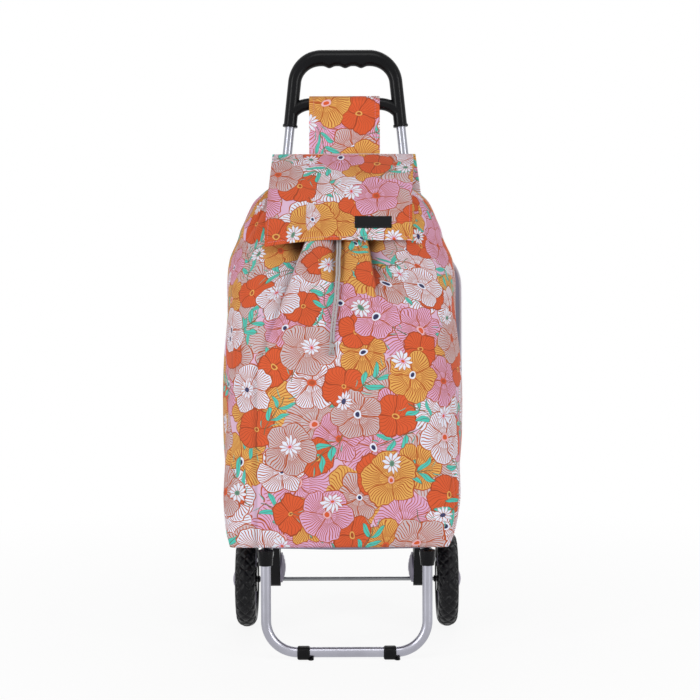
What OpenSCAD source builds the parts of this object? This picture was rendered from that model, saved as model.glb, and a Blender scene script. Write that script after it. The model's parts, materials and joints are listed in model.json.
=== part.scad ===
// Two-wheeled shopping trolley: a printed drawstring bag on a leaning tube frame with a fold-up front stand.
// Frame: +X to the right as seen from the front, +Y to the back, +Z up.
// Origin: on the floor, below the middle of the whole trolley.

/* [Wheels] */
// Outside diameter of each wheel
wheel_d = 160; // [152:1:168]
// Width of each tyre
wheel_w = 34; // [30:1:38]
// Distance between the two wheel centres
wheel_track = 340; // [336:1:356]
// Thickness of the foam tyre from tread to rim
tyre_t = 22; // [18:1:26]
// Depth of the tread grooves
tread_depth = 2.6; // [1.6:0.1:3]
// Number of tread chevrons round each tyre
treads = 30; // [20:2:36]
// Diameter of the steel axle
axle_d = 7; // [6:0.5:8]
// Diameter of the domed cap over each axle end
hub_cap_d = 38; // [34:1:44]

/* [Tube frame] */
// Outside diameter of every frame tube
tube_d = 16; // [15:0.5:16]
// Wall of every frame tube
tube_wall = 1.2; // [0.8:0.1:1.6]
// Distance between the tube centres at the axle and on the stand
frame_w = 254; // [248:1:258]
// Distance between the uprights at the handle's socket mouths
frame_top_w = 189; // [184:1:194]
// How far the uprights lean back from vertical, in degrees
lean = 4.5; // [4:0.5:5]
// How far each upright leans in above its bend, in degrees
splay = 6; // [5.5:0.5:7]
// Bend radius of the uprights, at the middle of the tube
upright_bend_r = 90; // [60:5:120]
// Height of the socket mouths above the axle, along the uprights
socket_h = 771; // [765:1:780]
// How far the cross brace sits below the bends of the uprights
brace_drop = 77; // [60:1:110]

/* [Handle] */
// Height of the handle moulding, from socket mouths to the top of the grip
handle_h = 132; // [128:1:140]
// Thickness of the handle's legs
handle_leg_d = 22.5; // [22:0.5:24]
// Height of the grip's section, without the finger ridges
grip_t = 28; // [26:0.5:30]
// Depth of the grip's section, front to back
grip_depth = 26; // [24:0.5:28]
// Bend radius of the handle's corners, at the middle of the section
handle_bend_r = 46; // [42:1:48]
// Height of the finger ridges
finger_ridge = 3.5; // [2:0.5:4.5]
// Thickness of the arched bar that the bag hangs from
arch_d = 21; // [19:0.5:22]
// Height of the arched bar above the socket mouths
arch_h = 39.5; // [38:0.5:42]

/* [Stand] */
// Distance from the axle to the legs, front to back
stand_reach = 225; // [218:1:232]
// Height of the stand's arms above the floor
arm_z = 163; // [161:1:166]
// Distance from the axle forward to the fold pivot
pivot_reach = 45; // [43:1:48]
// Diameter of the fold pivot pins
pivot_d = 6; // [5:0.5:7]
// Bend radius of the legs, at the middle of the tube
leg_bend_r = 50; // [44:1:56]
// Outside diameter of the plastic elbows and knuckles
elbow_d = 23; // [22:0.5:24]
// Thickness of the rubber sole below the tube
sole_t = 3.5; // [2.5:0.5:5]
// Width of each rubber foot
foot_w = 20; // [16:1:24]
// Distance between the two rubber feet
foot_spacing = 136; // [120:2:140]

/* [Axle brackets] */
// Width of each bracket
bracket_w = 28; // [27:0.5:29]
// Outside diameter of the bracket's tube socket
bracket_socket_d = 24; // [23:0.5:25]
// Height of the socket's top above the axle, along the upright
bracket_h = 92; // [86:1:93]
// Diameter of the domed cover on each bracket
cover_d = 51; // [46:1:54]
// How far each domed cover stands out
cover_t = 8.5; // [6:0.5:10]
// Height of the cover's centre above the axle
cover_h = 20; // [18:1:22]

/* [Bag] */
// Greatest width of the bag
bag_w = 386; // [376:2:390]
// How much squarer the bag's front corners are at its bottom
bottom_square = 9; // [6:0.5:10]
// Height of the bag, from its base to the gathered mouth
bag_h = 574; // [568:1:577]
// How far the bag's front stands in front of the legs
bag_lead = 12; // [10:1:16]
// Thickness of the bag's doubled fabric
bag_wall = 2.5; // [2:0.5:3.5]
// Thickness of the stiffened base
base_t = 5; // [4:0.5:6]
// How far the base sags between the stand's arms
base_sag = 3.5; // [2:0.5:5]
// Number of pleats round the gathered mouth
pleats = 12; // [8:4:12]
// Depth of the folds beside the middle panel
fold_depth = 8; // [7.5:0.5:9]
// Thickness of the stiff back panel
panel_t = 3; // [2:0.5:3.5]
// Width of the back panel without its piping
panel_w = 376; // [366:2:380]
// Height of the back panel's top above the axle, along the uprights
panel_h = 562; // [550:2:575]
// Corner radius at the top of the back panel
panel_corner_r = 62; // [50:1:75]
// Diameter of the piping round the back panel
piping_d = 5; // [4.5:0.5:6]

/* [Flap and strap] */
// Width of the flap
flap_w = 238; // [230:2:244]
// Thickness of the padded flap
flap_t = 3; // [2:0.5:4]
// Height of the flap's hinge above the axle, along the uprights
flap_h = 722; // [718:1:726]
// Radius of the flap's curve, front to back
flap_r = 310; // [302:2:318]
// Slope of the flap at its hinge, in degrees
flap_slope = 28; // [27:0.2:29]
// How much steeper the flap gets down to its front edge, in degrees
flap_sweep = 37.6; // [37:0.2:38.2]
// Corner radius of the flap's front corners
flap_corner_r = 14; // [8:1:20]
// Width of the yoke's lower edge, where it joins the bag
yoke_w = 280; // [270:2:290]
// Width of the strap that hangs the bag from the handle
strap_w = 120; // [100:2:124]
// Thickness of the strap's doubled fabric
strap_t = 2.5; // [1.5:0.5:3]
// Width of the bare leatherette patch on the flap
patch_w = 60; // [40:1:66]
// Height of the patch, along the flap
patch_h = 24; // [16:1:28]
// Diameter of the drawcord
cord_d = 3.5; // [3:0.1:3.8]

/* [Fits] */
// Clearance between parts that touch and don't move
seat_gap = 0.1; // [0.05:0.05:0.2]
// Radial clearance of a turning fit
run_gap = 0.08; // [0.05:0.01:0.1]
// Clearance between fabric and its neighbours
soft_gap = 0.4; // [0.35:0.05:0.6]

/* [Hidden] */
$fn = 48;
eps = 0.01;

// ---- colours ----
black_plastic = "#1d1d20";
black_rubber = "#191919";
anodised = "#b9bcc2";
steel = "#8f9296";
grey_plastic = "#938ea0";
grey_fabric = "#938ea0";
print_ground = "#e7c6dc";
cord_grey = "#cfcdd2";
leatherette = "#17171a";

// ---- places worked out from the sizes ----
tube_r = tube_d / 2;
tube_bore = tube_d + 2 * seat_gap;
half_w = frame_w / 2;
axle_z = wheel_d / 2;
frame_back = max(axle_z, (socket_h + handle_h - grip_t / 2) * sin(lean) + grip_depth / 2);
axle_y = (stand_reach + bag_lead - frame_back) / 2;
leg_y = axle_y - stand_reach;
pivot_y = axle_y - pivot_reach;
pivot_z = arm_z;
bar_z = sole_t + tube_r;
front_y = leg_y - bag_lead;

// ---- shared shapes ----

// Puts its children in the plane of the uprights: Z runs up the uprights from the axle, -Y faces the front.
module in_frame_plane() {
    translate([0, axle_y, axle_z]) rotate([-lean, 0, 0]) children();
}

// The trolley's own Y and Z of a point [y, z] in that plane.
function from_plane(p) = [
    axle_y + p[0] * cos(lean) + p[1] * sin(lean),
    axle_z - p[0] * sin(lean) + p[1] * cos(lean)
];

// Makes a piece of the right side (side = 1) or its mirror image (side = -1).
module on_side(side) {
    if (side > 0) children();
    else mirror([1, 0, 0]) children();
}

module both_sides() {
    for (side = [-1, 1]) on_side(side) children();
}

// A cylinder along X that starts at x.
module x_cylinder(x, length, d) {
    translate([x, 0, 0]) rotate([0, 90, 0]) cylinder(d = d, h = length);
}

// A cylinder along Y that starts at y.
module y_cylinder(y, length, d) {
    translate([0, y, 0]) rotate([-90, 0, 0]) cylinder(d = d, h = length);
}

// A flat shape drawn in Y and Z, made thick along X from x.
module x_extrude(x, length) {
    translate([x, 0, 0]) rotate([90, 0, 90]) linear_extrude(length) children();
}

// The outline of a tight belt round discs [centre, radius], which are listed anticlockwise.
module belt_outline(discs) {
    inset = 0.02;
    for (disc = discs) translate(disc[0]) circle(disc[1]);
    polygon([
        for (i = [0 : len(discs) - 1])
            let (
                p = discs[i],
                q = discs[(i + 1) % len(discs)],
                run = q[0] - p[0],
                side = atan2(run[1], run[0]) - acos((p[1] - q[1]) / norm(run)),
                out = [cos(side), sin(side)]
            )
                each [p[0] + (p[1] - inset) * out, q[0] + (q[1] - inset) * out]
    ]);
}

module rounded_rect(x0, x1, y0, y1, r) {
    translate([x0 + r, y0]) square([x1 - x0 - 2 * r, y1 - y0]);
    translate([x0, y0 + r]) square([x1 - x0, y1 - y0 - 2 * r]);
    for (x = [x0 + r, x1 - r]) for (y = [y0 + r, y1 - r]) translate([x, y]) circle(r);
}

// A low dome on the XY plane, with a flat base of diameter d and height h.
module dome(d, h) {
    r = (d * d / 4 + h * h) / (2 * h);
    intersection() {
        translate([0, 0, h - r]) sphere(r, $fn = 96);
        cylinder(d = d + 1, h = h + 1);
    }
}

// A closed solid through rings of points that all have the same number of points.
module loft(rings) {
    count = len(rings[0]);
    last = len(rings) - 1;
    points = [for (ring = rings) each ring];
    walls = [
        for (r = [0 : last - 1]) for (i = [0 : count - 1])
            let (a = r * count + i, b = r * count + (i + 1) % count)
                each [[a, a + count, b], [b, a + count, b + count]]
    ];
    start = [for (i = [0 : count - 1]) i];
    end = [for (i = [count - 1 : -1 : 0]) last * count + i];
    polyhedron(points, concat([start], walls, [end]), convexity = 6);
}

function smooth(t) = let (c = min(1, max(0, t))) c * c * (3 - 2 * c);
function unit(v) = v / norm(v);

// ---- handle ----
grip_z = socket_h + handle_h - grip_t / 2;
corner_z = grip_z - handle_bend_r;
function leg_x(z) = frame_top_w / 2 - (z - socket_h) * tan(splay);
corner_x = leg_x(corner_z) - handle_bend_r / cos(splay);
finger_pitch = 2 * corner_x / 3;
finger_steps = 24;
handle_sides = 20;

// The underside has three ridges, so four fingers lie in the hollows between and beside them.
function finger(x) = finger_ridge * (1 - abs(sin(180 * x / finger_pitch)));

// One ring round the handle. out is its outward direction; along goes from 0 on a leg to 1 on the grip.
function handle_ring(x, z, out_x, out_z, along) = [
    for (i = [0 : handle_sides - 1])
        let (
            a = 360 * i / handle_sides,
            half_t = (handle_leg_d + (grip_t - handle_leg_d) * smooth(along)) / 2,
            half_depth = (handle_leg_d + (grip_depth - handle_leg_d) * smooth(along)) / 2,
            ridge = along == 1 && cos(a) < 0 ? finger(x) : 0,
            r = cos(a) * (half_t + ridge)
        )
            [x + out_x * r, half_depth * sin(a), z + out_z * r]
];

leg_steps = 4;
corner_steps = 9;
handle_side_path = concat(
    [
        for (s = [0 : leg_steps - 1])
            let (z = socket_h + (corner_z + handle_bend_r * sin(splay) - socket_h) * s / leg_steps)
                [leg_x(z), z, cos(splay), sin(splay), 0]
    ],
    [
        for (s = [0 : corner_steps])
            let (a = splay + (90 - splay) * s / corner_steps)
                [corner_x + handle_bend_r * cos(a), corner_z + handle_bend_r * sin(a), cos(a), sin(a), s / corner_steps]
    ]
);
grip_path = [
    for (s = [1 : finger_steps - 1]) [corner_x * (1 - 2 * s / finger_steps), grip_z, 0, 1, 1]
];
handle_far_side = [
    for (i = [len(handle_side_path) - 1 : -1 : 0])
        let (p = handle_side_path[i]) [-p[0], p[1], -p[2], p[3], p[4]]
];
handle_rings = [
    for (p = concat(handle_side_path, grip_path, handle_far_side)) handle_ring(p[0], p[1], p[2], p[3], p[4])
];

arch_z = socket_h + arch_h;
arch_bend_r = 45;
arch_turn = 46;
arch_flat = leg_x(arch_z) - arch_bend_r * sin(arch_turn);
socket_depth = 34;
rim_t = 1.5;
rim_h = 4;
screw_d = 3.5;
screw_head_d = 7;
screw_z = 15;

// The upper end of the right upright: the origin is the socket mouth and Z runs up the tube.
module at_socket() {
    translate([frame_top_w / 2, 0, socket_h]) rotate([0, -splay, 0]) children();
}

arch_steps = 6;
arch_sides = 24;

// The arched bar is straight in the middle and bends down into the legs at both ends.
arch_side_path = [
    for (s = [0 : arch_steps])
        let (t = arch_turn * (1 - s / arch_steps))
            [arch_flat + arch_bend_r * sin(t), arch_z - arch_bend_r * (1 - cos(t)), sin(t), cos(t)]
];
arch_path = concat(
    arch_side_path,
    [for (i = [arch_steps : -1 : 0]) let (p = arch_side_path[i]) [-p[0], p[1], -p[2], p[3]]]
);
arch_rings = [
    for (p = arch_path) [
        for (i = [0 : arch_sides - 1])
            let (a = 360 * i / arch_sides, r = arch_d / 2)
                [p[0] + p[2] * r * cos(a), r * sin(a), p[1] + p[3] * r * cos(a)]
    ]
];

module handle() {
    color(black_plastic) in_frame_plane() difference() {
        union() {
            loft(handle_rings);
            loft(arch_rings);
            both_sides() at_socket() cylinder(d = handle_leg_d + 2 * rim_t, h = rim_h);
        }
        both_sides() at_socket() translate([0, 0, -rim_h]) cylinder(d = tube_bore, h = socket_depth + rim_h);
        both_sides() at_socket() translate([0, 0, screw_z]) y_cylinder(0, handle_leg_d, screw_d + 2 * seat_gap);
    }
}

module handle_screws() {
    color(steel) in_frame_plane() both_sides() at_socket() translate([0, 0, screw_z]) {
        y_cylinder(tube_r - tube_wall - 2, handle_leg_d / 2 + seat_gap - tube_r + tube_wall + 2 + eps, screw_d);
        translate([0, handle_leg_d / 2 + seat_gap, 0]) rotate([-90, 0, 0]) dome(screw_head_d, 2);
    }
}

// ---- uprights and cross brace ----
upright_start = 30;
bend_h = socket_h - (half_w - frame_top_w / 2) / tan(splay);
bend_cut = upright_bend_r * tan(splay / 2);
brace_h = bend_h - brace_drop;
upper_run = (socket_h - bend_h) / cos(splay) - bend_cut + socket_depth - 2;

module tube_ring() {
    difference() {
        circle(tube_r);
        circle(tube_r - tube_wall);
    }
}

// A rolled bead marks the top of the bend.
bead_h = 2.4;
bead_t = 0.35;
module bead_ring() {
    difference() {
        circle(tube_r + bead_t);
        circle(tube_r - tube_wall - bead_t);
    }
}

module upright(side) {
    color(anodised) in_frame_plane() on_side(side) difference() {
        union() {
            translate([half_w, 0, upright_start]) linear_extrude(bend_h - bend_cut - upright_start) tube_ring();
            translate([half_w - upright_bend_r, 0, bend_h - bend_cut]) rotate([90, 0, 0])
                rotate_extrude(angle = splay, $fn = 128) translate([upright_bend_r, 0]) tube_ring();
            translate([half_w - upright_bend_r, 0, bend_h - bend_cut]) rotate([0, -splay, 0])
                translate([upright_bend_r, 0, 0]) {
                    linear_extrude(upper_run) tube_ring();
                    translate([0, 0, -bead_h / 2]) linear_extrude(bead_h) bead_ring();
                }
        }
        at_socket() translate([0, 0, screw_z]) y_cylinder(0, handle_leg_d, screw_d + 2 * seat_gap);
        translate([half_w, 0, bracket_bolt_h]) x_cylinder(-tube_d, 2 * tube_d, bolt_d + 2 * seat_gap);
    }
}

clip_d = tube_d + 7;
clip_h = 34;
clip_reach = 34;
brace_end = half_w - tube_r - 1;

module cross_brace() {
    color(anodised) in_frame_plane() translate([-brace_end, 0, brace_h])
        rotate([90, 0, 90]) linear_extrude(2 * brace_end) tube_ring();
}

module brace_clip(side) {
    color(black_plastic) in_frame_plane() on_side(side) translate([half_w, 0, brace_h]) difference() {
        union() {
            translate([0, 0, -clip_h / 2]) cylinder(d = clip_d, h = clip_h);
            x_cylinder(-clip_reach, clip_reach, clip_d);
            for (z = [-clip_h / 2, clip_h / 2 - 3]) translate([0, 0, z]) cylinder(d = clip_d + 2, h = 3);
        }
        translate([0, 0, -clip_h]) cylinder(d = tube_bore, h = 2 * clip_h);
        x_cylinder(-2 * clip_reach, 2 * clip_reach, tube_bore);
        clip_front_flat();
    }
}

// The clip is flat in front, so that it stays behind the bag's back panel.
module clip_front_flat() {
    translate([-2 * clip_reach, -clip_d - tube_r - soft_gap / 2, -clip_h]) cube([3 * clip_reach, clip_d, 2 * clip_h]);
}

// ---- axle brackets ----
bracket_in = half_w - bracket_w / 2;
bracket_out = half_w + bracket_w / 2;
boss_r = bracket_socket_d / 2;
lobe_r = elbow_d / 2;
pivot = [-pivot_reach, pivot_z - axle_z];
slot_w = 12.4;
tongue_w = 11.6;
bolt_d = 5;
bracket_bolt_h = 72;
bolt_flat = 8;
bolt_head_t = 3.5;

module axle_bracket(side) {
    socket_mid = 56 * [sin(lean), cos(lean)];
    color(black_plastic) on_side(side) translate([0, axle_y, axle_z]) difference() {
        union() {
            x_extrude(bracket_in, bracket_w)
                belt_outline([[[0, 0], boss_r], [socket_mid, boss_r], [pivot, lobe_r]]);
            rotate([-lean, 0, 0]) translate([half_w, 0, 0]) cylinder(d = bracket_socket_d, h = bracket_h);
            rotate([-lean, 0, 0]) translate([half_w, 0, bracket_h - 5]) cylinder(d = bracket_socket_d + 1.6, h = 5);
        }
        x_cylinder(bracket_in - 1, bracket_w + 2, axle_d + 2 * seat_gap);
        rotate([-lean, 0, 0]) {
            translate([half_w, 0, upright_start - 1]) cylinder(d = tube_bore, h = bracket_h);
            translate([0, 0, bracket_bolt_h]) x_cylinder(bracket_in - 1, bracket_w + 2, bolt_d + 2 * seat_gap);
        }
        bracket_slot();
        translate([0, pivot[0], pivot[1]]) x_cylinder(bracket_in - 1, bracket_w + 2, pivot_d + 2 * seat_gap);
        for (x = [bracket_in - eps, bracket_out - 2.5 + eps]) bracket_recess(x);
    }
}

// The slot that the knuckle's tongue turns in, open to the front and the top.
module bracket_slot() {
    reach = lobe_r + 1;
    x_extrude(half_w - slot_w / 2, slot_w) translate(pivot) {
        circle(reach);
        translate([-2 * reach, -reach]) square([2 * reach, 3 * reach]);
        translate([-reach, 0]) square([2 * reach, 2 * reach]);
    }
}

// A shallow triangular recess in the bracket's web, which leaves a rim like a moulded part's.
module bracket_recess(x) {
    x_extrude(x, 2.5) polygon([[-7, 22], [-7, 56], [-32, 72]]);
}

// Each domed cover has rings like ripples round its middle.
cover_rings = 4;
cover_steps = 32;
cover_base = 2.5;
function cover_height(r) =
    let (t = 2 * r / cover_d)
        cover_base + (cover_t - cover_base - 0.6) * (1 - t * t) + 0.6 * (0.5 + 0.5 * cos(360 * cover_rings * t));

module bracket_cover(side) {
    outline = concat(
        [[0, 0]],
        [for (s = [0 : cover_steps]) let (r = cover_d / 2 * s / cover_steps) [r, cover_height(r)]],
        [[cover_d / 2, 0]]
    );
    color(grey_plastic) on_side(side) translate([bracket_in - seat_gap, axle_y, axle_z]) difference() {
        translate([0, 0, cover_h]) rotate([0, -90, 0]) rotate_extrude($fn = 96) polygon(outline);
        x_cylinder(-2 * cover_t, 3 * cover_t, axle_d + 2 * seat_gap);
    }
}

module bracket_bolts() {
    color(steel) in_frame_plane() both_sides() translate([0, 0, bracket_bolt_h]) {
        x_cylinder(bracket_in - seat_gap - bolt_head_t, bracket_w + 2 * seat_gap + 2 * bolt_head_t, bolt_d);
        x_cylinder(bracket_out + seat_gap, bolt_head_t, bolt_flat / cos(30), $fn = 6);
        x_cylinder(bracket_in - seat_gap - bolt_head_t, bolt_head_t, bolt_flat / cos(30), $fn = 6);
    }
}

module pivot_pins() {
    color(steel) both_sides() translate([0, pivot_y, pivot_z]) {
        x_cylinder(bracket_in - seat_gap - 1, bracket_w + 2 * seat_gap + 2, pivot_d);
        translate([bracket_out + seat_gap, 0, 0]) rotate([0, 90, 0]) dome(pivot_d + 5, 2.2);
        translate([bracket_in - seat_gap, 0, 0]) rotate([0, -90, 0]) dome(pivot_d + 4, 1.8);
    }
}

// ---- wheels ----
wheel_in = wheel_track / 2 - wheel_w / 2;
wheel_out = wheel_track / 2 + wheel_w / 2;
rim_r = axle_z - tyre_t;
washer_t = 4;
hub_in = wheel_in + washer_t + seat_gap;
hub_bore = axle_d + 2 * run_gap;
boss_d = hub_cap_d - 4;
cap_h = 7;
axle_end = wheel_out + 3;
spacer_d = 11;

module axle() {
    color(steel) translate([0, axle_y, axle_z]) x_cylinder(-axle_end, 2 * axle_end, axle_d);
}

module axle_spacers() {
    start = wheel_in - 5;
    color(black_plastic) both_sides() translate([0, axle_y, axle_z]) difference() {
        x_cylinder(start, wheel_in - start - 0.4, spacer_d);
        x_cylinder(start - 1, wheel_w, axle_d + 2 * seat_gap);
    }
}

// Thin steel nuts pushed on the axle's ends keep the wheels on, inside the hub caps.
module axle_push_nuts() {
    color(steel) both_sides() translate([0, axle_y, axle_z]) difference() {
        x_cylinder(wheel_out + 0.4, 1.2, axle_d + 7);
        x_cylinder(wheel_out, wheel_w, axle_d + 2 * seat_gap);
    }
}

tyre_outline = [
    [rim_r, -wheel_w / 2 + 2], [rim_r + 2, -wheel_w / 2 + 0.6], [rim_r + 8, -wheel_w / 2],
    [axle_z - 9, -wheel_w / 2 + 0.7], [axle_z - 5.6, -wheel_w / 2 + 2.6], [axle_z - 2.9, -wheel_w / 2 + 5.6],
    [axle_z - 1, -wheel_w / 2 + 9.4], [axle_z, -wheel_w / 4 + 4.7],
    [axle_z, wheel_w / 4 - 4.7], [axle_z - 1, wheel_w / 2 - 9.4],
    [axle_z - 2.9, wheel_w / 2 - 5.6], [axle_z - 5.6, wheel_w / 2 - 2.6], [axle_z - 9, wheel_w / 2 - 0.7],
    [rim_r + 8, wheel_w / 2], [rim_r + 2, wheel_w / 2 - 0.6], [rim_r, wheel_w / 2 - 2]
];

module tyre(side) {
    groove_w = 2.4;
    groove_l = wheel_w * 0.62;
    color(black_rubber) on_side(side) translate([wheel_track / 2, axle_y, axle_z]) rotate([0, 90, 0]) difference() {
        rotate_extrude($fn = 160) polygon(tyre_outline);
        for (i = [0 : treads - 1]) for (end = [-1, 1])
            rotate([0, 0, 360 * (i + (end > 0 ? 0.5 : 0)) / treads]) translate([axle_z, 0, end * wheel_w / 4])
                rotate([end * 35, 0, 0]) rotate([0, -end * 14, 0])
                    cube([2 * tread_depth, groove_w, groove_l], center = true);
    }
}

module hub(side) {
    web_t = 4;
    rim_t = 3;
    spokes = 6;
    width = wheel_out - 1 - hub_in;
    color(grey_plastic) on_side(side) translate([0, axle_y, axle_z]) difference() {
        union() {
            difference() {
                x_cylinder(hub_in, width, 2 * (rim_r - seat_gap), $fn = 96);
                x_cylinder(hub_in - 1, width + 2, 2 * (rim_r - rim_t), $fn = 96);
            }
            translate([hub_in + width / 2 - web_t / 2, 0, 0]) x_cylinder(0, web_t, 2 * (rim_r - rim_t) + 1, $fn = 96);
            x_cylinder(hub_in, wheel_out - hub_in, boss_d);
            for (i = [0 : spokes - 1]) rotate([360 * i / spokes, 0, 0])
                translate([hub_in + 4, -2, boss_d / 2 - 1]) cube([width - 8, 4, rim_r - rim_t - boss_d / 2 + 1.5]);
        }
        x_cylinder(hub_in - 1, wheel_w + 2, hub_bore);
    }
}

module hub_washer(side) {
    color(black_plastic) on_side(side) translate([0, axle_y, axle_z]) difference() {
        union() {
            x_cylinder(wheel_in, washer_t, 41);
            x_cylinder(wheel_in + 1.2, 1.6, 43);
        }
        x_cylinder(wheel_in - 1, washer_t + 2, hub_bore + 0.4);
    }
}

module hub_cap(side) {
    skirt = 5;
    color(grey_plastic) on_side(side) translate([wheel_out + seat_gap, axle_y, axle_z]) difference() {
        union() {
            rotate([0, 90, 0]) dome(hub_cap_d, cap_h);
            x_cylinder(-skirt, skirt + eps, hub_cap_d);
        }
        x_cylinder(-skirt - 1, skirt + 1, boss_d + 2 * seat_gap);
        x_cylinder(-1, 5, axle_d + 10);
    }
}

// ---- stand ----
elbow_run = 30;
knuckle_start = 17;
knuckle_run = 30;
arm_front = leg_y + tube_r + 0.4;
arm_back = pivot_y - knuckle_start - 4;
leg_top = arm_z + elbow_d / 2 - 3.5;
elbow_bottom = arm_z - elbow_d / 2 - 1;
elbow_top = arm_z + elbow_d / 2 - 0.6;
rivet_d = 4;
elbow_rivet_z = arm_z - 4;

module stand_arm(side) {
    color(anodised) on_side(side) translate([half_w, arm_front, arm_z]) rotate([-90, 0, 0])
        difference() {
            linear_extrude(arm_back - arm_front) tube_ring();
            translate([0, 0, arm_back - arm_front - 14]) x_cylinder(0, tube_d, rivet_d + 2 * seat_gap);
        }
}

module stand_knuckle(side) {
    color(black_plastic) on_side(side) translate([half_w, pivot_y, pivot_z]) difference() {
        union() {
            x_extrude(-tongue_w / 2, tongue_w) {
                circle(lobe_r - 0.5);
                translate([-knuckle_start - 1, -lobe_r + 0.5]) square([knuckle_start + 1, 2 * lobe_r - 1]);
            }
            y_cylinder(-knuckle_start - knuckle_run, knuckle_run, elbow_d);
        }
        y_cylinder(-knuckle_start - knuckle_run - 1, knuckle_run - 3 + seat_gap, tube_bore);
        x_cylinder(-tongue_w, 2 * tongue_w, pivot_d + 2 * run_gap);
        translate([0, -knuckle_start - 18, 0]) x_cylinder(0, elbow_d, rivet_d + 2 * seat_gap);
    }
}

module stand_elbow(side) {
    color(black_plastic) on_side(side) translate([half_w, leg_y, 0]) difference() {
        union() {
            translate([0, 0, elbow_bottom])
                cylinder(d1 = elbow_d - 1.6, d2 = elbow_d + 2, h = elbow_top - elbow_bottom);
            translate([0, 0, arm_z]) y_cylinder(0, elbow_run, elbow_d);
            translate([0, 0, arm_z]) y_cylinder(elbow_run - 4, 4, elbow_d);
        }
        translate([0, 0, elbow_bottom - 1]) cylinder(d = tube_bore, h = leg_top - elbow_bottom + 1 + seat_gap);
        translate([0, 0, arm_z]) y_cylinder(tube_r, elbow_run, tube_bore);
        translate([0, 0, elbow_rivet_z]) x_cylinder(0, elbow_d, rivet_d + 2 * seat_gap);
    }
}

// A rivet holds each leg in its elbow and each arm in its knuckle, from the outer side.
module stand_rivets() {
    head = elbow_d / 2 + seat_gap;
    inner = tube_r - tube_wall - 1.5;
    color(steel) both_sides() for (place = [[leg_y, elbow_rivet_z, head + 0.3], [arm_back - 14, arm_z, head]])
        translate([half_w, place[0], place[1]]) {
            x_cylinder(inner, place[2] - inner + eps, rivet_d);
            translate([place[2], 0, 0]) rotate([0, 90, 0]) dome(rivet_d + 4, 1.8);
        }
}

module stand_leg_frame() {
    straight = half_w - leg_bend_r;
    color(anodised) translate([0, leg_y, 0]) difference() {
        union() {
            translate([-straight, 0, bar_z]) rotate([90, 0, 90]) linear_extrude(2 * straight) tube_ring();
            both_sides() {
                translate([straight, 0, bar_z + leg_bend_r]) rotate([90, 0, 0])
                    rotate([0, 0, -90]) rotate_extrude(angle = 90, $fn = 96) translate([leg_bend_r, 0]) tube_ring();
                translate([half_w, 0, bar_z + leg_bend_r])
                    linear_extrude(leg_top - bar_z - leg_bend_r) tube_ring();
            }
        }
        both_sides() translate([half_w, 0, elbow_rivet_z]) x_cylinder(0, tube_d, rivet_d + 2 * seat_gap);
    }
}

// A rubber clip on the bottom bar: open on top, flat below, with a small lug at one end.
module rubber_foot(side) {
    wall = 3;
    open_a = 36;
    outer = tube_r + wall;
    mouth = 2 * outer;
    color(black_rubber) translate([side * foot_spacing / 2, leg_y, 0]) {
        x_extrude(-foot_w / 2, foot_w) difference() {
            union() {
                translate([0, bar_z]) circle(outer);
                translate([-outer, 0]) square([2 * outer, bar_z]);
            }
            translate([0, bar_z]) circle(tube_r + seat_gap);
            translate([0, bar_z]) polygon([[0, 0], mouth * [-sin(open_a), cos(open_a)], mouth * [sin(open_a), cos(open_a)]]);
        }
        translate([foot_w / 2 - eps, -outer + 1, 0]) cube([6 + eps, 2 * outer - 2, sole_t - 0.3]);
    }
}

// ---- flap, strap and yoke, in the plane of the uprights ----
strap_in = arch_d / 2 + soft_gap;
strap_out = strap_in + strap_t;
hinge_place = [-strap_out - soft_gap - flap_t / 2, flap_h];
hinge = from_plane(hinge_place);
flap_mid_r = flap_r - flap_t / 2;
flap_centre = hinge + flap_mid_r * [sin(flap_slope), -cos(flap_slope)];
flap_end = flap_slope + flap_sweep;
flap_edge_z = flap_centre[1] + (flap_r - flap_t) * cos(flap_end);
flap_edge_y = flap_centre[0] - (flap_r - flap_t) * sin(flap_end);
function under_flap(z, gap) = flap_centre[0] - sqrt(pow(flap_r - flap_t - gap, 2) - pow(z - flap_centre[1], 2));

// Part of a ring in Y and Z, between two slopes of the flap's curve.
module flap_arc(r0, r1, from, to) {
    reach = 1.2 * r1;
    middle = (from + to) / 2;
    translate(flap_centre) intersection() {
        difference() {
            circle(r1, $fn = 240);
            circle(r0, $fn = 240);
        }
        polygon([[0, 0], reach * [-sin(from), cos(from)], reach * [-sin(middle), cos(middle)], reach * [-sin(to), cos(to)]]);
    }
}

module flap() {
    low = flap_centre[1] + flap_r * cos(flap_end) - 5;
    color(print_ground) intersection() {
        union() {
            x_extrude(-flap_w / 2, flap_w) flap_arc(flap_r - flap_t, flap_r, flap_slope, flap_end);
            translate([0, hinge[0], hinge[1]]) x_cylinder(-flap_w / 2, flap_w, flap_t);
        }
        translate([0, hinge[0] + 2 * flap_t, 0]) rotate([90, 0, 0]) linear_extrude(2 * flap_r)
            rounded_rect(-flap_w / 2, flap_w / 2, flap_edge_z, hinge[1] + 3 * flap_corner_r, flap_corner_r);
    }
}

patch_x = 46;
patch_end = flap_end - 4;

module flap_patch() {
    sweep = patch_h / flap_r * 180 / PI;
    color(leatherette) x_extrude(patch_x - patch_w / 2, patch_w)
        flap_arc(flap_r + seat_gap, flap_r + seat_gap + 1, patch_end - sweep, patch_end);
}

strap_low = flap_h + 2;
bar_step = 7.5;
function over_bar(r) = [for (a = [180 : -bar_step : 0]) r * [cos(a), sin(a)]];

module hanging_strap() {
    drop = arch_z - strap_low;
    outside = concat(over_bar(strap_out), [[-strap_in, 4 - drop], [-strap_in, -drop], [-strap_out, -drop]]);
    inside = concat(over_bar(strap_in), [[-strap_in, 10 - drop]]);
    color(print_ground) in_frame_plane() translate([0, 0, arch_z]) x_extrude(-strap_w / 2, strap_w) difference() {
        polygon(outside);
        polygon(inside);
    }
}

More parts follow.
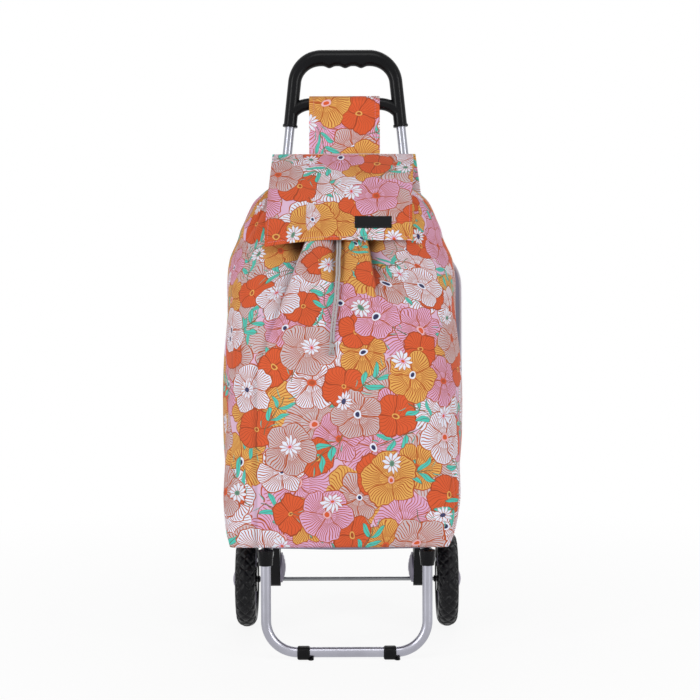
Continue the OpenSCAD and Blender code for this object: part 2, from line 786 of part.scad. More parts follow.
yoke_low = panel_h + piping_d + soft_gap;
panel_y = -tube_r - soft_gap - piping_d / 2;
bag_back_y = panel_y - piping_d / 2 - soft_gap;
yoke_t = 2.5;

module back_yoke() {
    top = strap_low - soft_gap;
    color(print_ground) in_frame_plane() translate([0, panel_y + yoke_t / 2, 0]) rotate([90, 0, 0])
        linear_extrude(yoke_t) polygon([[-yoke_w / 2, yoke_low], [yoke_w / 2, yoke_low], [flap_w / 2, top], [-flap_w / 2, top]]);
}

// ---- bag ----
bag_low = arm_z + elbow_d / 2 + soft_gap;
bag_bottom = bag_low + base_t + soft_gap;
mouth_z = bag_bottom + bag_h;
neck_z = flap_edge_z - 2.5;
bag_half = bag_w / 2;
bag_sides = 96;
back_round = 30;
square_fade = 50;
neck_y = under_flap(neck_z, soft_gap);

// Share of the height up to the flap's edge, share of the half width, share of the way back to that edge
lower_rows = [
    [0, 0.865, 0.02], [0.012, 0.885, 0.006], [0.05, 0.93, 0], [0.16, 0.985, 0], [0.32, 1, 0],
    [0.46, 1, 0], [0.55, 0.999, 0.012], [0.62, 0.997, 0.065], [0.6825, 0.993, 0.157], [0.768, 0.987, 0.307],
    [0.853, 0.976, 0.506], [0.9, 0.96, 0.64], [0.9465, 0.93, 0.79], [0.975, 0.895, 0.9], [1, 0.86, 1]
];
// Share of the height from the flap's edge to the mouth, half width, distance behind the flap, share of the folds
upper_rows = [
    [0.1, 0.845, 0, 1], [0.23, 0.83, 0, 1], [0.35, 0.803, 0, 1], [0.5, 0.775, 0.5, 1],
    [0.68, 0.736, 1, 1], [0.85, 0.65, 1.5, 0.7], [0.94, 0.59, 2, 0.2], [0.98, 0.48, 2, 0], [1, 0.335, 2, 0]
];

function back_at(z) = axle_y + (z - axle_z) * tan(lean) + bag_back_y / cos(lean);

// Each row: height, half width, front, back, share of the way up the gathers, share of the fold beside the panel
bag_rows = concat(
    [
        for (row = lower_rows)
            let (z = bag_bottom + row[0] * (neck_z - bag_bottom))
                [z, bag_half * row[1], front_y + row[2] * (neck_y - front_y), back_at(z), 0, smooth((row[0] - 0.84) / 0.1)]
    ],
    [
        for (row = upper_rows)
            let (z = neck_z + row[0] * (mouth_z - neck_z))
                [z, bag_half * row[1], under_flap(z, soft_gap) + row[2], back_at(z), row[0], row[3]]
    ]
);

// How deep the folds are at an angle from straight ahead: one in the middle for the cords, one beside each panel edge.
cord_fold_a = -3.75;
panel_fold_a = 18.75;
fold_half_a = 4.5;
function notch(a, at) = max(0, 1 - abs(a - at) / fold_half_a);
function fold_at(a) = notch(a, cord_fold_a) + notch(a, panel_fold_a) + notch(a, -panel_fold_a);

function bag_ring(row, inset, drop) = [
    for (i = [0 : bag_sides - 1])
        let (
            a = 360 * i / bag_sides,
            c = cos(a),
            s = sin(a),
            square = bottom_square * exp((bag_bottom - row[0]) / square_fade),
            power = s < 0 ? 3.6 - 1.2 * row[4] + square : 5 - 2.6 * row[4],
            reach = pow(pow(abs(c), power) + pow(abs(s), power), -1 / power),
            half_back = min(back_round, 0.45 * (row[3] - row[2])),
            middle = row[3] - half_back,
            half = s < 0 ? middle - row[2] : half_back,
            gather = 1 - 0.05 * row[4] * (1 - cos(pleats * a)) / 2,
            fold = s < 0 ? fold_depth * row[5] * fold_at(a - 270) : 0
        )
            [(row[1] - inset) * reach * c * gather, middle + (half - inset) * reach * s * gather + fold, row[0] - drop]
];

last_row = len(bag_rows) - 1;
function row_drop(i) = i < 7 || i == last_row ? 0 : bag_wall;
floor_row = concat([bag_bottom + bag_wall], [for (k = [1 : 5]) bag_rows[0][k]]);

module bag_body() {
    outside = [for (row = bag_rows) bag_ring(row, 0, 0)];
    inside = [for (i = [last_row : -1 : 1]) bag_ring(bag_rows[i], bag_wall, row_drop(i))];
    color(print_ground) loft(concat(outside, inside, [bag_ring(floor_row, bag_wall + 1, 0)]));
}

module bag_base() {
    half = bag_half * lower_rows[0][1] - 14;
    back = back_at(bag_low) - 1;
    sag_half = half_w - elbow_d / 2 - 4;
    sag_r = (sag_half * sag_half + base_sag * base_sag) / (2 * base_sag);
    color(grey_fabric) {
        translate([0, 0, bag_low]) linear_extrude(base_t) rounded_rect(-half, half, front_y + 18, back, 34);
        intersection() {
            translate([0, 0, bag_low - base_sag + sag_r]) y_cylinder(front_y + 22, back - front_y - 36, 2 * sag_r, $fn = 256);
            translate([-half, front_y, bag_low - 2 * base_sag]) cube([2 * half, back - front_y, 2 * base_sag + 1]);
        }
    }
}

module back_panel() {
    half = panel_w / 2;
    low = (bag_low - axle_z + 4) / cos(lean);
    pipe = piping_d / 2;
    pipe_x = half + 0.5;
    pipe_top = panel_h + 0.5;
    pipe_r = panel_corner_r + 0.5;
    color(grey_fabric) in_frame_plane() translate([0, panel_y, 0]) {
        translate([0, panel_t / 2, 0]) rotate([90, 0, 0]) linear_extrude(panel_t) {
            translate([-half, low]) square([2 * half, panel_h - panel_corner_r - low]);
            translate([-half + panel_corner_r, low]) square([2 * half - 2 * panel_corner_r, panel_h - low]);
            for (side = [-1, 1])
                translate([side * (half - panel_corner_r), panel_h - panel_corner_r]) circle(panel_corner_r, $fn = 96);
        }
        translate([0, 0, pipe_top]) x_cylinder(-half + panel_corner_r, 2 * half - 2 * panel_corner_r, piping_d, $fn = 24);
        both_sides() {
            translate([pipe_x, 0, low]) cylinder(r = pipe, h = pipe_top - pipe_r - low, $fn = 24);
            translate([pipe_x - pipe_r, 0, pipe_top - pipe_r]) rotate([90, 0, 0])
                rotate_extrude(angle = 90, $fn = 96) translate([pipe_r, 0]) circle(pipe, $fn = 24);
        }
    }
}

// Fabric loops round the cross brace, sewn to the back panel above and below it.
module brace_tabs() {
    tab_w = 32;
    tab_x = 58;
    tab_t = 1.6;
    inner = tube_r + soft_gap;
    reach = -(panel_y + panel_t / 2) - soft_gap / 2;
    color(grey_fabric) in_frame_plane() both_sides() translate([0, 0, brace_h]) x_extrude(tab_x - tab_w / 2, tab_w) {
        difference() {
            circle(inner + tab_t);
            circle(inner);
            translate([-4 * inner, -2 * inner]) square([4 * inner, 4 * inner]);
        }
        for (z = [-inner - tab_t, inner]) translate([-reach, z]) square([reach + eps, tab_t]);
    }
}

// ---- drawcord ----
cord_r = cord_d / 2;
cord_sides = 8;
cord_lie = soft_gap + cord_r;
front_table = [for (row = bag_rows) [row[0], row[2]]];

// Cord route under the flap: distance to the left, height above the flap's edge.
route_under = [[8, 70], [9, 60], [9, 50], [10, 40], [10, 30], [10, 20], [11, 10], [11, 3]];
under_depth = 2.8;
// Round the flap's edge: distance to the left, distance back from the edge, height above it.
route_edge = [[11, 3, -1], [11, -3, -4]];
// Over the bag's front: distance to the left, distance out from the bag's front line, height below the flap's edge.
route_front = [
    [11, 1.2, 10], [11, 1.2, 13], [11, 1.2, 16], [11, 1.2, 20], [12, 1.2, 24], [12, 1, 29], [12, 0.8, 35], [12, 0, 40],
    [12, 0, 46], [12, 0.8, 53], [13, 1.6, 60], [13, 2.4, 68], [14, 2.8, 76], [14, 2.8, 84], [15, 2.6, 92], [15, 2.5, 100],
    [17, 2.5, 108], [18, 2.5, 116], [19, 2.5, 124], [20, 2.5, 132], [20.5, 2.5, 141], [21, 2.5, 148], [21, 3.4, 154.5]
];

function route_beside(offset) = concat(
    [for (p = route_under) let (z = flap_edge_z + p[1]) [offset - p[0], under_flap(z, under_depth - cord_lie + cord_r), z]],
    [for (p = route_edge) [offset - p[0], flap_edge_y + p[1], flap_edge_z + p[2]]],
    [
        for (p = route_front)
            let (z = flap_edge_z - p[2]) [offset - p[0], lookup(z, front_table) - p[1], z]
    ]
);

// Rings round a cord: u lies across it, v stands off it.
function cord_rings(path) = [
    for (k = [0 : len(path) - 1])
        let (
            t = unit(path[min(k + 1, len(path) - 1)] - path[max(k - 1, 0)]),
            u = unit([1, 0, 0] - t[0] * t),
            v = cross(t, u)
        )
            [for (i = [0 : cord_sides - 1]) let (a = 360 * i / cord_sides) path[k] + cord_r * (cos(a) * u + sin(a) * v)]
];

strand_x = cord_r + 0.4;
knot_r = 4.8;
knot_drop = 159.5;
knot_lie = knot_r + soft_gap + 0.8;
tail_tilt = 18;

module drawcord(side) {
    color(cord_grey) loft(cord_rings(route_beside(side * strand_x)));
}

// An overhand knot: two crossed turns round a core, with the two frayed ends below.
module drawcord_knot() {
    z = flap_edge_z - knot_drop;
    turn_r = knot_r - cord_r + 0.1;
    color(cord_grey) translate([-route_front[len(route_front) - 1][0], lookup(z, front_table) - knot_lie, z]) {
        sphere(knot_r - 0.8, $fn = 32);
        for (turn = [[1.6, 18], [-1.6, -20]]) translate([0, 0, turn[0]]) rotate([0, turn[1], 0])
            rotate_extrude($fn = 48) translate([turn_r, 0]) circle(cord_r - 0.1, $fn = 24);
        for (side = [-1, 1]) rotate([-tail_tilt, side * 14 + 8, 0])
            translate([0, 0.4, -15]) cylinder(d1 = cord_d + 1, d2 = cord_d - 0.4, h = 13, $fn = 24);
    }
}

handle();
handle_screws();
upright(-1);  // upright_left
upright(1);  // upright_right
cross_brace();
brace_clip(-1);  // brace_clip_left
brace_clip(1);  // brace_clip_right
axle_bracket(-1);  // axle_bracket_left
axle_bracket(1);  // axle_bracket_right
bracket_cover(-1);  // bracket_cover_left
bracket_cover(1);  // bracket_cover_right
bracket_bolts();
pivot_pins();
axle();
axle_spacers();
axle_push_nuts();
tyre(-1);  // tyre_left
hub(-1);  // hub_left
hub_washer(-1);  // hub_washer_left
hub_cap(-1);  // hub_cap_left
tyre(1);  // tyre_right
hub(1);  // hub_right
hub_washer(1);  // hub_washer_right
hub_cap(1);  // hub_cap_right
stand_knuckle(-1);  // stand_knuckle_left
stand_knuckle(1);  // stand_knuckle_right
stand_arm(-1);  // stand_arm_left
stand_arm(1);  // stand_arm_right
stand_elbow(-1);  // stand_elbow_left
stand_elbow(1);  // stand_elbow_right
stand_rivets();
stand_leg_frame();
rubber_foot(-1);  // rubber_foot_left
rubber_foot(1);  // rubber_foot_right
bag_body();
bag_base();
back_panel();
back_yoke();
brace_tabs();
hanging_strap();
flap();
flap_patch();
drawcord(-1);  // drawcord_left
drawcord(1);  // drawcord_right
drawcord_knot();
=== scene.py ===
# %% [markdown]
# # A shopping trolley on two wheels
# The trolley is a printed drawstring bag that hangs on a leaning tube frame, with a stand in front that
# folds up. Most rigid parts keep their CAD shape and only get their materials here. The bag, its flap,
# straps and cords are cloth, so this lesson models them again as cloth, and it draws the handle, the tyres
# and the rubber feet again with rounder forms. Every piece is drawn in millimetres, as on a pattern
# sheet, and turned to metres when its mesh is made.

import json
import math

import bmesh
import bpy
import numpy as np
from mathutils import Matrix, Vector


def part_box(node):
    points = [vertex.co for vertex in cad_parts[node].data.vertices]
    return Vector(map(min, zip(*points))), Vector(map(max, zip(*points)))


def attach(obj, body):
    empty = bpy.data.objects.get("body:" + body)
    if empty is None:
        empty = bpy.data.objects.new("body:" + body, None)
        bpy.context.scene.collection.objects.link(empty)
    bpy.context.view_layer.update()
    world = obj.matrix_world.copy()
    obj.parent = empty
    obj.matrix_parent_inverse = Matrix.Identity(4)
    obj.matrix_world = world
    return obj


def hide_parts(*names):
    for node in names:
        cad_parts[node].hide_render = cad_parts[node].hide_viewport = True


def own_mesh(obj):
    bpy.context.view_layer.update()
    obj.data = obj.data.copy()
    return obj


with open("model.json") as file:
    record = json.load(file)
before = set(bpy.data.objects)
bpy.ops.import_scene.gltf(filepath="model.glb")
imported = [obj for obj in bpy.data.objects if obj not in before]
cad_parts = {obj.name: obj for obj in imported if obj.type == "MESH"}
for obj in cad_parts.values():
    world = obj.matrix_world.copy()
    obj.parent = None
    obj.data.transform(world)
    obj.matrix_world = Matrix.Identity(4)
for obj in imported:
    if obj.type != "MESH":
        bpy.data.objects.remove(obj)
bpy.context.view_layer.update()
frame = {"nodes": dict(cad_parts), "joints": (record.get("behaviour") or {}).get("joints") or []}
MM = 0.001

# %% [markdown]
# ## The camera
# A catalogue view is taken from a few metres away with a long lens, so that the sides of the bag stay
# parallel. The camera stands at the height of the bag's upper half and looks down a little.

# %% Camera
LENS_MM, SENSOR_MM = 85.93714, 36
CAMERA_PLACE = (0.0073, -2.737, 0.691)
TILT, ROLL = math.radians(90 - 4.46), math.radians(0.2)


def new_object(name, data):
    """Puts a mesh, a lamp or a camera into the scene."""
    item = bpy.data.objects.new(name, data)
    bpy.context.scene.collection.objects.link(item)
    return item


camera_data = bpy.data.cameras.new("camera")
camera_data.sensor_width, camera_data.lens = SENSOR_MM, LENS_MM
camera = new_object("camera", camera_data)
camera.location, camera.rotation_euler = CAMERA_PLACE, (TILT, ROLL, 0)
bpy.context.scene.camera = camera
print("lens in mm:", round(camera_data.lens, 1))

# %% [markdown]
# ## Places on the trolley
# All sizes start from the CAD boxes. The uprights lean back, and the handle, strap and back panel lie in
# their plane, so one function turns a place in that plane into a place in the room.

# %% Places
LEAN = math.radians(4.5)


def box_mm(node):
    """The lowest and highest corner of a CAD node, in millimetres."""
    low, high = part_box(node)
    return np.array(low) / MM, np.array(high) / MM


def together(*values):
    """Points from their coordinates: numbers, or grids of numbers that fit each other."""
    return np.stack(np.broadcast_arrays(*values), -1)


def lean_back(x, y, z):
    """Points in the uprights' plane, where z runs up the tubes and -y faces the front, to room points."""
    sin, cos = math.sin(LEAN), math.cos(LEAN)
    return together(x, axle_y + y * cos + z * sin, axle_z - y * sin + z * cos)


axle_low, axle_high = box_mm("axle")
axle_y, axle_z = (axle_low + axle_high)[1:] / 2
bag_low, bag_high = box_mm("bag_body")
bag_half, mouth_z = bag_high[0], bag_high[2]
front_y, bottom_z = bag_low[1:]
hinge = next(j for j in frame["joints"] if j["name"] == "flap_hinge")["pos_m"]
hinge_y, hinge_z = hinge[1] / MM, hinge[2] / MM
print("bag from", bottom_z.round(1), "to", mouth_z.round(1), "front at", front_y.round(1))

# %% [markdown]
# ## The flap's curve and the bag's outline
# The flap is part of a wide arc from its hinge to its front edge. The bag below it is worked out row by
# row: how wide it is, where its front is and how far its neck is gathered.

# %% Flap curve and bag rows
FLAP_R, FLAP_T = 310, 3
FLAP_SLOPE, FLAP_SWEEP = math.radians(28), math.radians(37.6)
CLOTH_GAP = 0.4
flap_centre_y = hinge_y + (FLAP_R - FLAP_T / 2) * math.sin(FLAP_SLOPE)
flap_centre_z = hinge_z - (FLAP_R - FLAP_T / 2) * math.cos(FLAP_SLOPE)
flap_edge_y = flap_centre_y - (FLAP_R - FLAP_T) * math.sin(FLAP_SLOPE + FLAP_SWEEP)
flap_edge_z = flap_centre_z + (FLAP_R - FLAP_T) * math.cos(FLAP_SLOPE + FLAP_SWEEP)


def under_flap(z, gap):
    """How far back the flap's underside is at a height, less a gap."""
    return flap_centre_y - np.sqrt((FLAP_R - FLAP_T - gap) ** 2 - (z - flap_centre_z) ** 2)


neck_z = flap_edge_z - 2.5
neck_y = under_flap(neck_z, CLOTH_GAP)
# Share of the height up to the neck, share of the half width, share of the way back to the neck.
LOWER = np.array(
    [
        (0, 0.895, 0.02), (0.012, 0.91, 0.006), (0.05, 0.937, 0), (0.16, 0.982, 0), (0.32, 1, 0),
        (0.46, 1, 0), (0.55, 0.999, 0.012), (0.62, 0.997, 0.065), (0.6825, 0.993, 0.157),
        (0.768, 0.987, 0.307), (0.853, 0.976, 0.506), (0.9, 0.96, 0.64), (0.9465, 0.93, 0.79),
        (0.975, 0.895, 0.9), (1, 0.86, 1),
    ]
)
# Share of the height from the neck to the mouth, share of the half width, distance behind the flap.
UPPER = np.array(
    [
        (0.1, 0.845, 0), (0.23, 0.83, 0), (0.35, 0.803, 0), (0.5, 0.775, 0.5), (0.68, 0.736, 1),
        (0.85, 0.65, 1.5), (0.94, 0.59, 2), (0.98, 0.48, 2), (1, 0.335, 2),
    ]
)
upper_z = neck_z + UPPER[:, 0] * (mouth_z - neck_z)
row_z = np.concatenate([bottom_z + LOWER[:, 0] * (neck_z - bottom_z), upper_z])
row_half = bag_half * np.concatenate([LOWER[:, 1], UPPER[:, 1]])
row_front = np.concatenate(
    [front_y + LOWER[:, 2] * (neck_y - front_y), under_flap(upper_z, CLOTH_GAP) + UPPER[:, 2]]
)
BACK_GAP = 13.84


def bag_back(z):
    """How far back the bag reaches at a height: it lies along the leaning uprights."""
    return axle_y + (z - axle_z) * math.tan(LEAN) - BACK_GAP


print("neck at", round(neck_z, 1), "rows:", len(row_z))

# %% [markdown]
# ## Meshes from rows of points
# Most pieces here are grids: rows of points along the piece, each with the same number of columns. Cloth
# grids also carry a flat pattern, in millimetres, so that print and weave keep their real size.

# %% Grids


def grid_mesh(name, grids, wrap=False, caps=False, ring=False, cloths=None, shade=None):
    """A smooth mesh over one or more grids of points in mm. wrap and ring close it along its columns and
    rows, caps close its ends, cloths hold each corner's place on the flat cloth, and shade holds a painted
    shade for each point, which darkens the print in the folds."""
    grids = [grids] if isinstance(grids, np.ndarray) else grids
    points, faces, flats, start = [], [], [], 0
    for number, grid in enumerate(grids):
        rows, columns = grid.shape[:2]
        cells = np.indices((rows - (not ring), columns - (not wrap)))
        row, column = cells.reshape(2, -1)
        corners = [(row, column), (row, column + 1), (row + 1, column + 1), (row + 1, column)]
        faces += (start + np.stack([r % rows * columns + c % columns for r, c in corners], 1)).tolist()
        if cloths is not None:
            flats.append(np.stack([cloths[number][r, c] for r, c in corners], 1).reshape(-1, 2))
        if caps:
            last = start + (rows - 1) * columns
            faces += [list(range(start, start + columns))[::-1], list(range(last, last + columns))]
            flats.append(np.zeros((2 * columns, 2)))
        points.append(grid.reshape(-1, 3))
        start += rows * columns
    mesh = bpy.data.meshes.new(name)
    mesh.from_pydata((np.concatenate(points) * MM).tolist(), [], faces)
    if cloths is not None:
        places = mesh.uv_layers.new(name="cloth").data
        places.foreach_set("uv", np.concatenate(flats).astype(np.float32).ravel())
    if shade is not None:
        depths = mesh.attributes.new("painted_fold_shade", "FLOAT", "POINT").data
        depths.foreach_set("value", shade.astype(np.float32).ravel())
    mesh.shade_smooth()
    return new_object(name, mesh)


print("grids ready")

# %% Paths and tubes
TUBE_SIDES = 16


def all_round(count):
    """Evenly spaced angles round a circle."""
    return np.linspace(0, 2 * math.pi, count, endpoint=False)


def along(path):
    """Distances along a path of points."""
    steps = np.linalg.norm(np.diff(path, axis=0), axis=-1)
    return np.concatenate([np.zeros_like(steps[:1]), np.cumsum(steps, axis=0)])


def sweep(path, radius, sides=TUBE_SIDES, closed=False, side_on=(1, 0, 0)):
    """Rings of points round a path. radius is a number, or a value for each point and side."""
    path = np.asarray(path, float)
    ahead = np.roll(path, -1, 0) - np.roll(path, 1, 0) if closed else np.gradient(path, axis=0)
    ahead /= np.linalg.norm(ahead, axis=1, keepdims=True)
    u = np.empty_like(path)
    last = np.array(side_on, float)
    for i, t in enumerate(ahead):
        last = last - (last @ t) * t
        last /= np.linalg.norm(last)
        u[i] = last
    v = np.cross(ahead, u)
    angle = all_round(sides)
    r = np.broadcast_to(radius, (len(path), sides))[..., None]
    return path[:, None] + r * (np.cos(angle)[:, None] * u[:, None] + np.sin(angle)[:, None] * v[:, None])


def tube(name, path, radius, width):
    """A closed tube along a path. The cloth round it is as long as a circle of that width."""
    cloth = together(along(path)[:, None], np.linspace(0, math.pi * width, TUBE_SIDES + 1)[None])
    return grid_mesh(name, sweep(path, radius), wrap=True, caps=True, cloths=[cloth])


def smooth_path(points, step):
    """A path through points, evenly spaced by about step, with its corners eased."""
    points = np.asarray(points, float)
    far = along(points)
    even = np.linspace(0, far[-1], int(far[-1] / step) + 2)
    path = np.stack([np.interp(even, far, points[:, k]) for k in range(3)], 1)
    for _ in range(6):
        path[1:-1] = (path[:-2] + 2 * path[1:-1] + path[2:]) / 4
    return path


print("tubes have", TUBE_SIDES, "sides")

# %% Thickness and finish


def settle(piece):
    """Applies a piece's modifiers, so that its mesh is final."""
    shape = bpy.data.meshes.new_from_object(piece.evaluated_get(bpy.context.evaluated_depsgraph_get()))
    piece.modifiers.clear()
    piece.data = shape
    return piece


def round_edges(piece, width, angle):
    """Rounds the edges that turn by more than an angle in degrees. The width is in mm."""
    bevel = piece.modifiers.new("edge", "BEVEL")
    bevel.width, bevel.segments = width * MM, 3
    bevel.limit_method, bevel.angle_limit = "ANGLE", math.radians(angle)


def thicken(piece, thickness, offset=0, edge=0, lining=0):
    """Gives cloth its thickness in mm, to both sides or by its offset to one, and rounds its edges."""
    solid = piece.modifiers.new("thickness", "SOLIDIFY")
    solid.thickness, solid.offset = thickness * MM, offset
    solid.material_offset, solid.material_offset_rim = lining, 0
    if edge:
        round_edges(piece, edge, 50)
    return settle(piece)


def finish_piece(piece, body, slot, *finishes, replaced=()):
    """Gives a piece its materials and its body, and hides the CAD nodes that it stands for."""
    piece.data.materials.clear()
    for finish in finishes:
        piece.data.materials.append(finish)
    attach(piece, body)
    if replaced:
        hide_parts(*replaced)
    return piece


print("thickness and finish ready")

# %% [markdown]
# ## Materials
# Each material starts from what the real thing is. One function turns a colour as it is written on a
# swatch (sRGB) into the linear light that a shader wants, and one function adds a node and fills its
# inputs. The patterns are drawn on the flat cloth in millimetres, so their sizes can be read off.

# %% Node helpers


def paint(swatch):
    """An sRGB hex colour as linear red, green, blue and alpha."""
    parts = [int(swatch[i : i + 2], 16) / 255 for i in (1, 3, 5)]
    return (*[p / 12.92 if p <= 0.04045 else ((p + 0.055) / 1.055) ** 2.4 for p in parts], 1)


def fill(tree, node, inputs):
    """Gives a node's inputs their values or links. inputs is a list, or a table by name or number."""
    for key, value in inputs.items() if isinstance(inputs, dict) else enumerate(inputs):
        if isinstance(value, bpy.types.NodeSocket):
            tree.links.new(value, node.inputs[key])
        else:
            node.inputs[key].default_value = value


def add(tree, kind, inputs=(), out=0, **settings):
    """Adds one node, sets it up, fills its inputs and returns one of its outputs."""
    node = tree.nodes.new("ShaderNode" + kind)
    for name, value in settings.items():
        setattr(node, name, value)
    fill(tree, node, inputs)
    return node.outputs[out]


def work_out(tree, known, steps):
    """Works down a table of sums. A row is a name, an operation and its inputs: numbers or earlier names."""
    for name, operation, *inputs in steps:
        known[name] = add(tree, "Math", [known.get(i, i) for i in inputs], operation=operation)
    return known


def new_material(name):
    """An empty material with a shader and its output."""
    material = bpy.data.materials.new(name)
    material.use_nodes = True
    return material, material.node_tree, material.node_tree.nodes["Principled BSDF"]


def speckle(tree, size):
    """Noise whose grains are about that many mm, read from the object's own place."""
    place = add(tree, "TexCoord", out="Object")
    return add(tree, "TexNoise", {"Vector": place, "Scale": 1 / (size * MM), "Detail": 3.0}, out="Fac")


print("white is", paint("#ffffff"))

# %% [markdown]
# ### Metals, plastics and rubber
# The tubes are extruded aluminium with a satin anodised skin, which scatters highlights along the tube.
# Screws and the axle are zinc-plated steel. Handle and brackets are moulded polypropylene with a fine
# spark-eroded grain, the feet are rubber and the tyres are foam, the dullest of all.

# %% Hard materials
WORN_SIZE = 45


def hard_material(name, swatch, metallic, roughness, grain, depth, spread, worn, shine=0.5):
    """A solid colour that changes faintly to a worn one, with a fine grain in mm in its relief and gloss."""
    material, tree, shader = new_material(name)
    fine, broad = speckle(tree, grain), speckle(tree, WORN_SIZE)
    worn_here = add(tree, "MapRange", {"Value": broad, "From Min": 0.3, "From Max": 0.7})
    colour = add(tree, "Mix", {0: worn_here, 6: paint(swatch), 7: paint(worn)}, out=2, data_type="RGBA")
    gloss = add(tree, "MapRange", {"Value": fine, "To Min": roughness - spread, "To Max": roughness + spread})
    bump = add(tree, "Bump", {"Height": fine, "Strength": 0.35, "Distance": depth * MM})
    fill(tree, shader, {"Base Color": colour, "Roughness": gloss, "Normal": bump})
    fill(tree, shader, {"Metallic": metallic, "Specular IOR Level": shine})
    return material


# Name, colour, metallic, roughness, grain and its depth in mm, spread of the gloss, worn colour and shine.
anodised = hard_material("anodised_aluminium", "#9c9da5", 1, 0.31, 0.8, 0.02, 0.05, "#92939b")
# The stand's tubes are the same anodised aluminium as the uprights, painted lighter as a painted highlight,
# since the lamps leave little highlight on them.
stand_tube_painted_highlight = hard_material("anodised_aluminium_stand_painted_highlight", "#acacb6", 1, 0.34, 0.8, 0.02, 0.05, "#a1a1ab")
zinc_steel = hard_material("zinc_plated_steel", "#8f9194", 1, 0.36, 0.6, 0.02, 0.08, "#808285")
black_moulding = hard_material("moulded_polypropylene", "#09090b", 0, 0.27, 1.1, 0.05, 0.05, "#0e0e11", 0.13)
grey_moulding = hard_material("grey_moulded_polypropylene", "#8c8798", 0, 0.45, 1.1, 0.05, 0.06, "#958fa1")
foot_rubber = hard_material("foot_rubber", "#0a0a0c", 0, 0.42, 1.4, 0.08, 0.06, "#0f0f11", 0.12)
tyre_foam = hard_material("tyre_foam", "#0d0d10", 0, 0.36, 1.6, 0.15, 0.06, "#131316", 0.16)
print("hard materials ready")

# %% [markdown]
# ### Cloth
# Polyester canvas is a plain weave: threads go over and under each other in a square grid. A real thread
# here is about 0.5 mm wide, which is too fine to show, so it is drawn at 1.3 mm. The print is generic
# garden flowers: layers of open blooms, poppies, daisies and leaf sprigs, each laid out on its own
# slightly shaken grid that is turned against the others, so no repeat can be seen.

# %% Weave
CANVAS_THREAD, WEAVE_DEPTH = 1.3, 0.25


def weave(tree, place, thread):
    """The relief of a plain weave: 1 on top of a thread, 0 between threads."""
    parts = add(tree, "SeparateXYZ", [place]).node.outputs
    steps = [
        ("a", "MULTIPLY", "x", math.pi / thread),
        ("b", "MULTIPLY", "y", math.pi / thread),
        ("sa", "SINE", "a"),
        ("sb", "SINE", "b"),
        ("over", "MULTIPLY", "sa", "sb"),
        ("height", "MULTIPLY_ADD", "over", 0.5, 0.5),
    ]
    return work_out(tree, {"x": parts["X"], "y": parts["Y"]}, steps)["height"]


def cloth_place(tree):
    """A point's place on the flat cloth, in mm."""
    return add(tree, "UVMap", out="UV", uv_map="cloth")


print("threads of", CANVAS_THREAD, "mm")

# %% Plain cloths
ROUGH, SHEEN, FLECKS = 0.92, 0.15, 0.35


def plain_cloth(name, swatch, shade, thread):
    """A plain woven fabric with flecks of a second shade, which also fills the gaps between the threads as a
    painted shade.
    """
    material, tree, shader = new_material(name)
    place = cloth_place(tree)
    height = weave(tree, place, thread)
    fleck = add(tree, "TexNoise", {"Vector": place, "Scale": FLECKS, "Detail": 4.0}, out="Fac")
    # The mask mixes real flecks with the weave's relief, so the gaps between the threads take the darker
    # colour: a painted shade of the weave.
    steps = [
        ("part", "MULTIPLY", "height", 0.35),
        ("sum", "ADD", "part", "fleck"),
        ("mask", "SUBTRACT", "sum", 0.25),
    ]
    mask = work_out(tree, {"height": height, "fleck": fleck}, steps)["mask"]
    colour = add(tree, "Mix", {0: mask, 6: paint(shade), 7: paint(swatch)}, out=2, data_type="RGBA")
    bump = add(tree, "Bump", {"Height": height, "Strength": 0.5, "Distance": WEAVE_DEPTH * MM})
    fill(tree, shader, {"Base Color": colour, "Normal": bump, "Roughness": ROUGH, "Sheen Weight": SHEEN})
    return material


grey_canvas = plain_cloth("grey_polyester_canvas", "#9a95a8", "#857f93", CANVAS_THREAD)
grey_tape = plain_cloth("grey_binding_tape", "#d2ced8", "#bdb9c4", 1.0)
lining = plain_cloth("unprinted_canvas_back", "#d9cfd6", "#c6bac3", CANVAS_THREAD)
cord_braid = plain_cloth("braided_polyester_cord", "#c9c6c6", "#a39f9f", 0.9)
leatherette = hard_material("black_leatherette", "#0c0c0e", 0, 0.5, 1.8, 0.2, 0.08, "#111113", 0.12)
print("plain cloths ready")

# %% Spots, colours and layers
LINE = "#b8521f"


def scatter(tree, place, cell, turn, start, shake):
    """A shaken grid of spots: the way from the nearest spot in mm, and three random numbers for it."""
    laid = {"Location": (start, start * 0.7, 0), "Rotation": (0, 0, turn), "Scale": (1 / cell,) * 3}
    turned = add(tree, "Mapping", {"Vector": place, **laid})
    grid = {"Vector": turned, "Scale": 1.0, "Randomness": shake}
    spots = add(tree, "TexVoronoi", grid, voronoi_dimensions="2D").node.outputs
    way = add(tree, "VectorMath", [turned, spots["Position"]], operation="SUBTRACT")
    way_mm = add(tree, "VectorMath", {0: way, "Scale": cell}, operation="SCALE")
    parts = add(tree, "SeparateXYZ", [way_mm]).node.outputs
    lots = add(tree, "SeparateColor", [spots["Color"]]).node.outputs
    known = {"x": parts["X"], "y": parts["Y"]}
    known.update({"lot": lots["Red"], "turn": lots["Green"], "size": lots["Blue"]})
    steps = [
        ("xx", "MULTIPLY", "x", "x"),
        ("rr", "MULTIPLY_ADD", "y", "y", "xx"),
        ("r", "SQRT", "rr"),
        ("start", "ARCTAN2", "y", "x"),
        ("angle", "MULTIPLY_ADD", "turn", 2 * math.pi, "start"),
    ]
    return work_out(tree, known, steps)


def palette(tree, value, swatches):
    """Picks one of several colours by a number from 0 to 1."""
    picked = add(tree, "ValToRGB", [value])
    ramp = picked.node.color_ramp
    ramp.interpolation = "CONSTANT"
    for i, swatch in enumerate(swatches):
        element = ramp.elements[i] if i < 2 else ramp.elements.new(0.999)
        element.position = i / len(swatches)
        element.color = paint(swatch)
    return picked


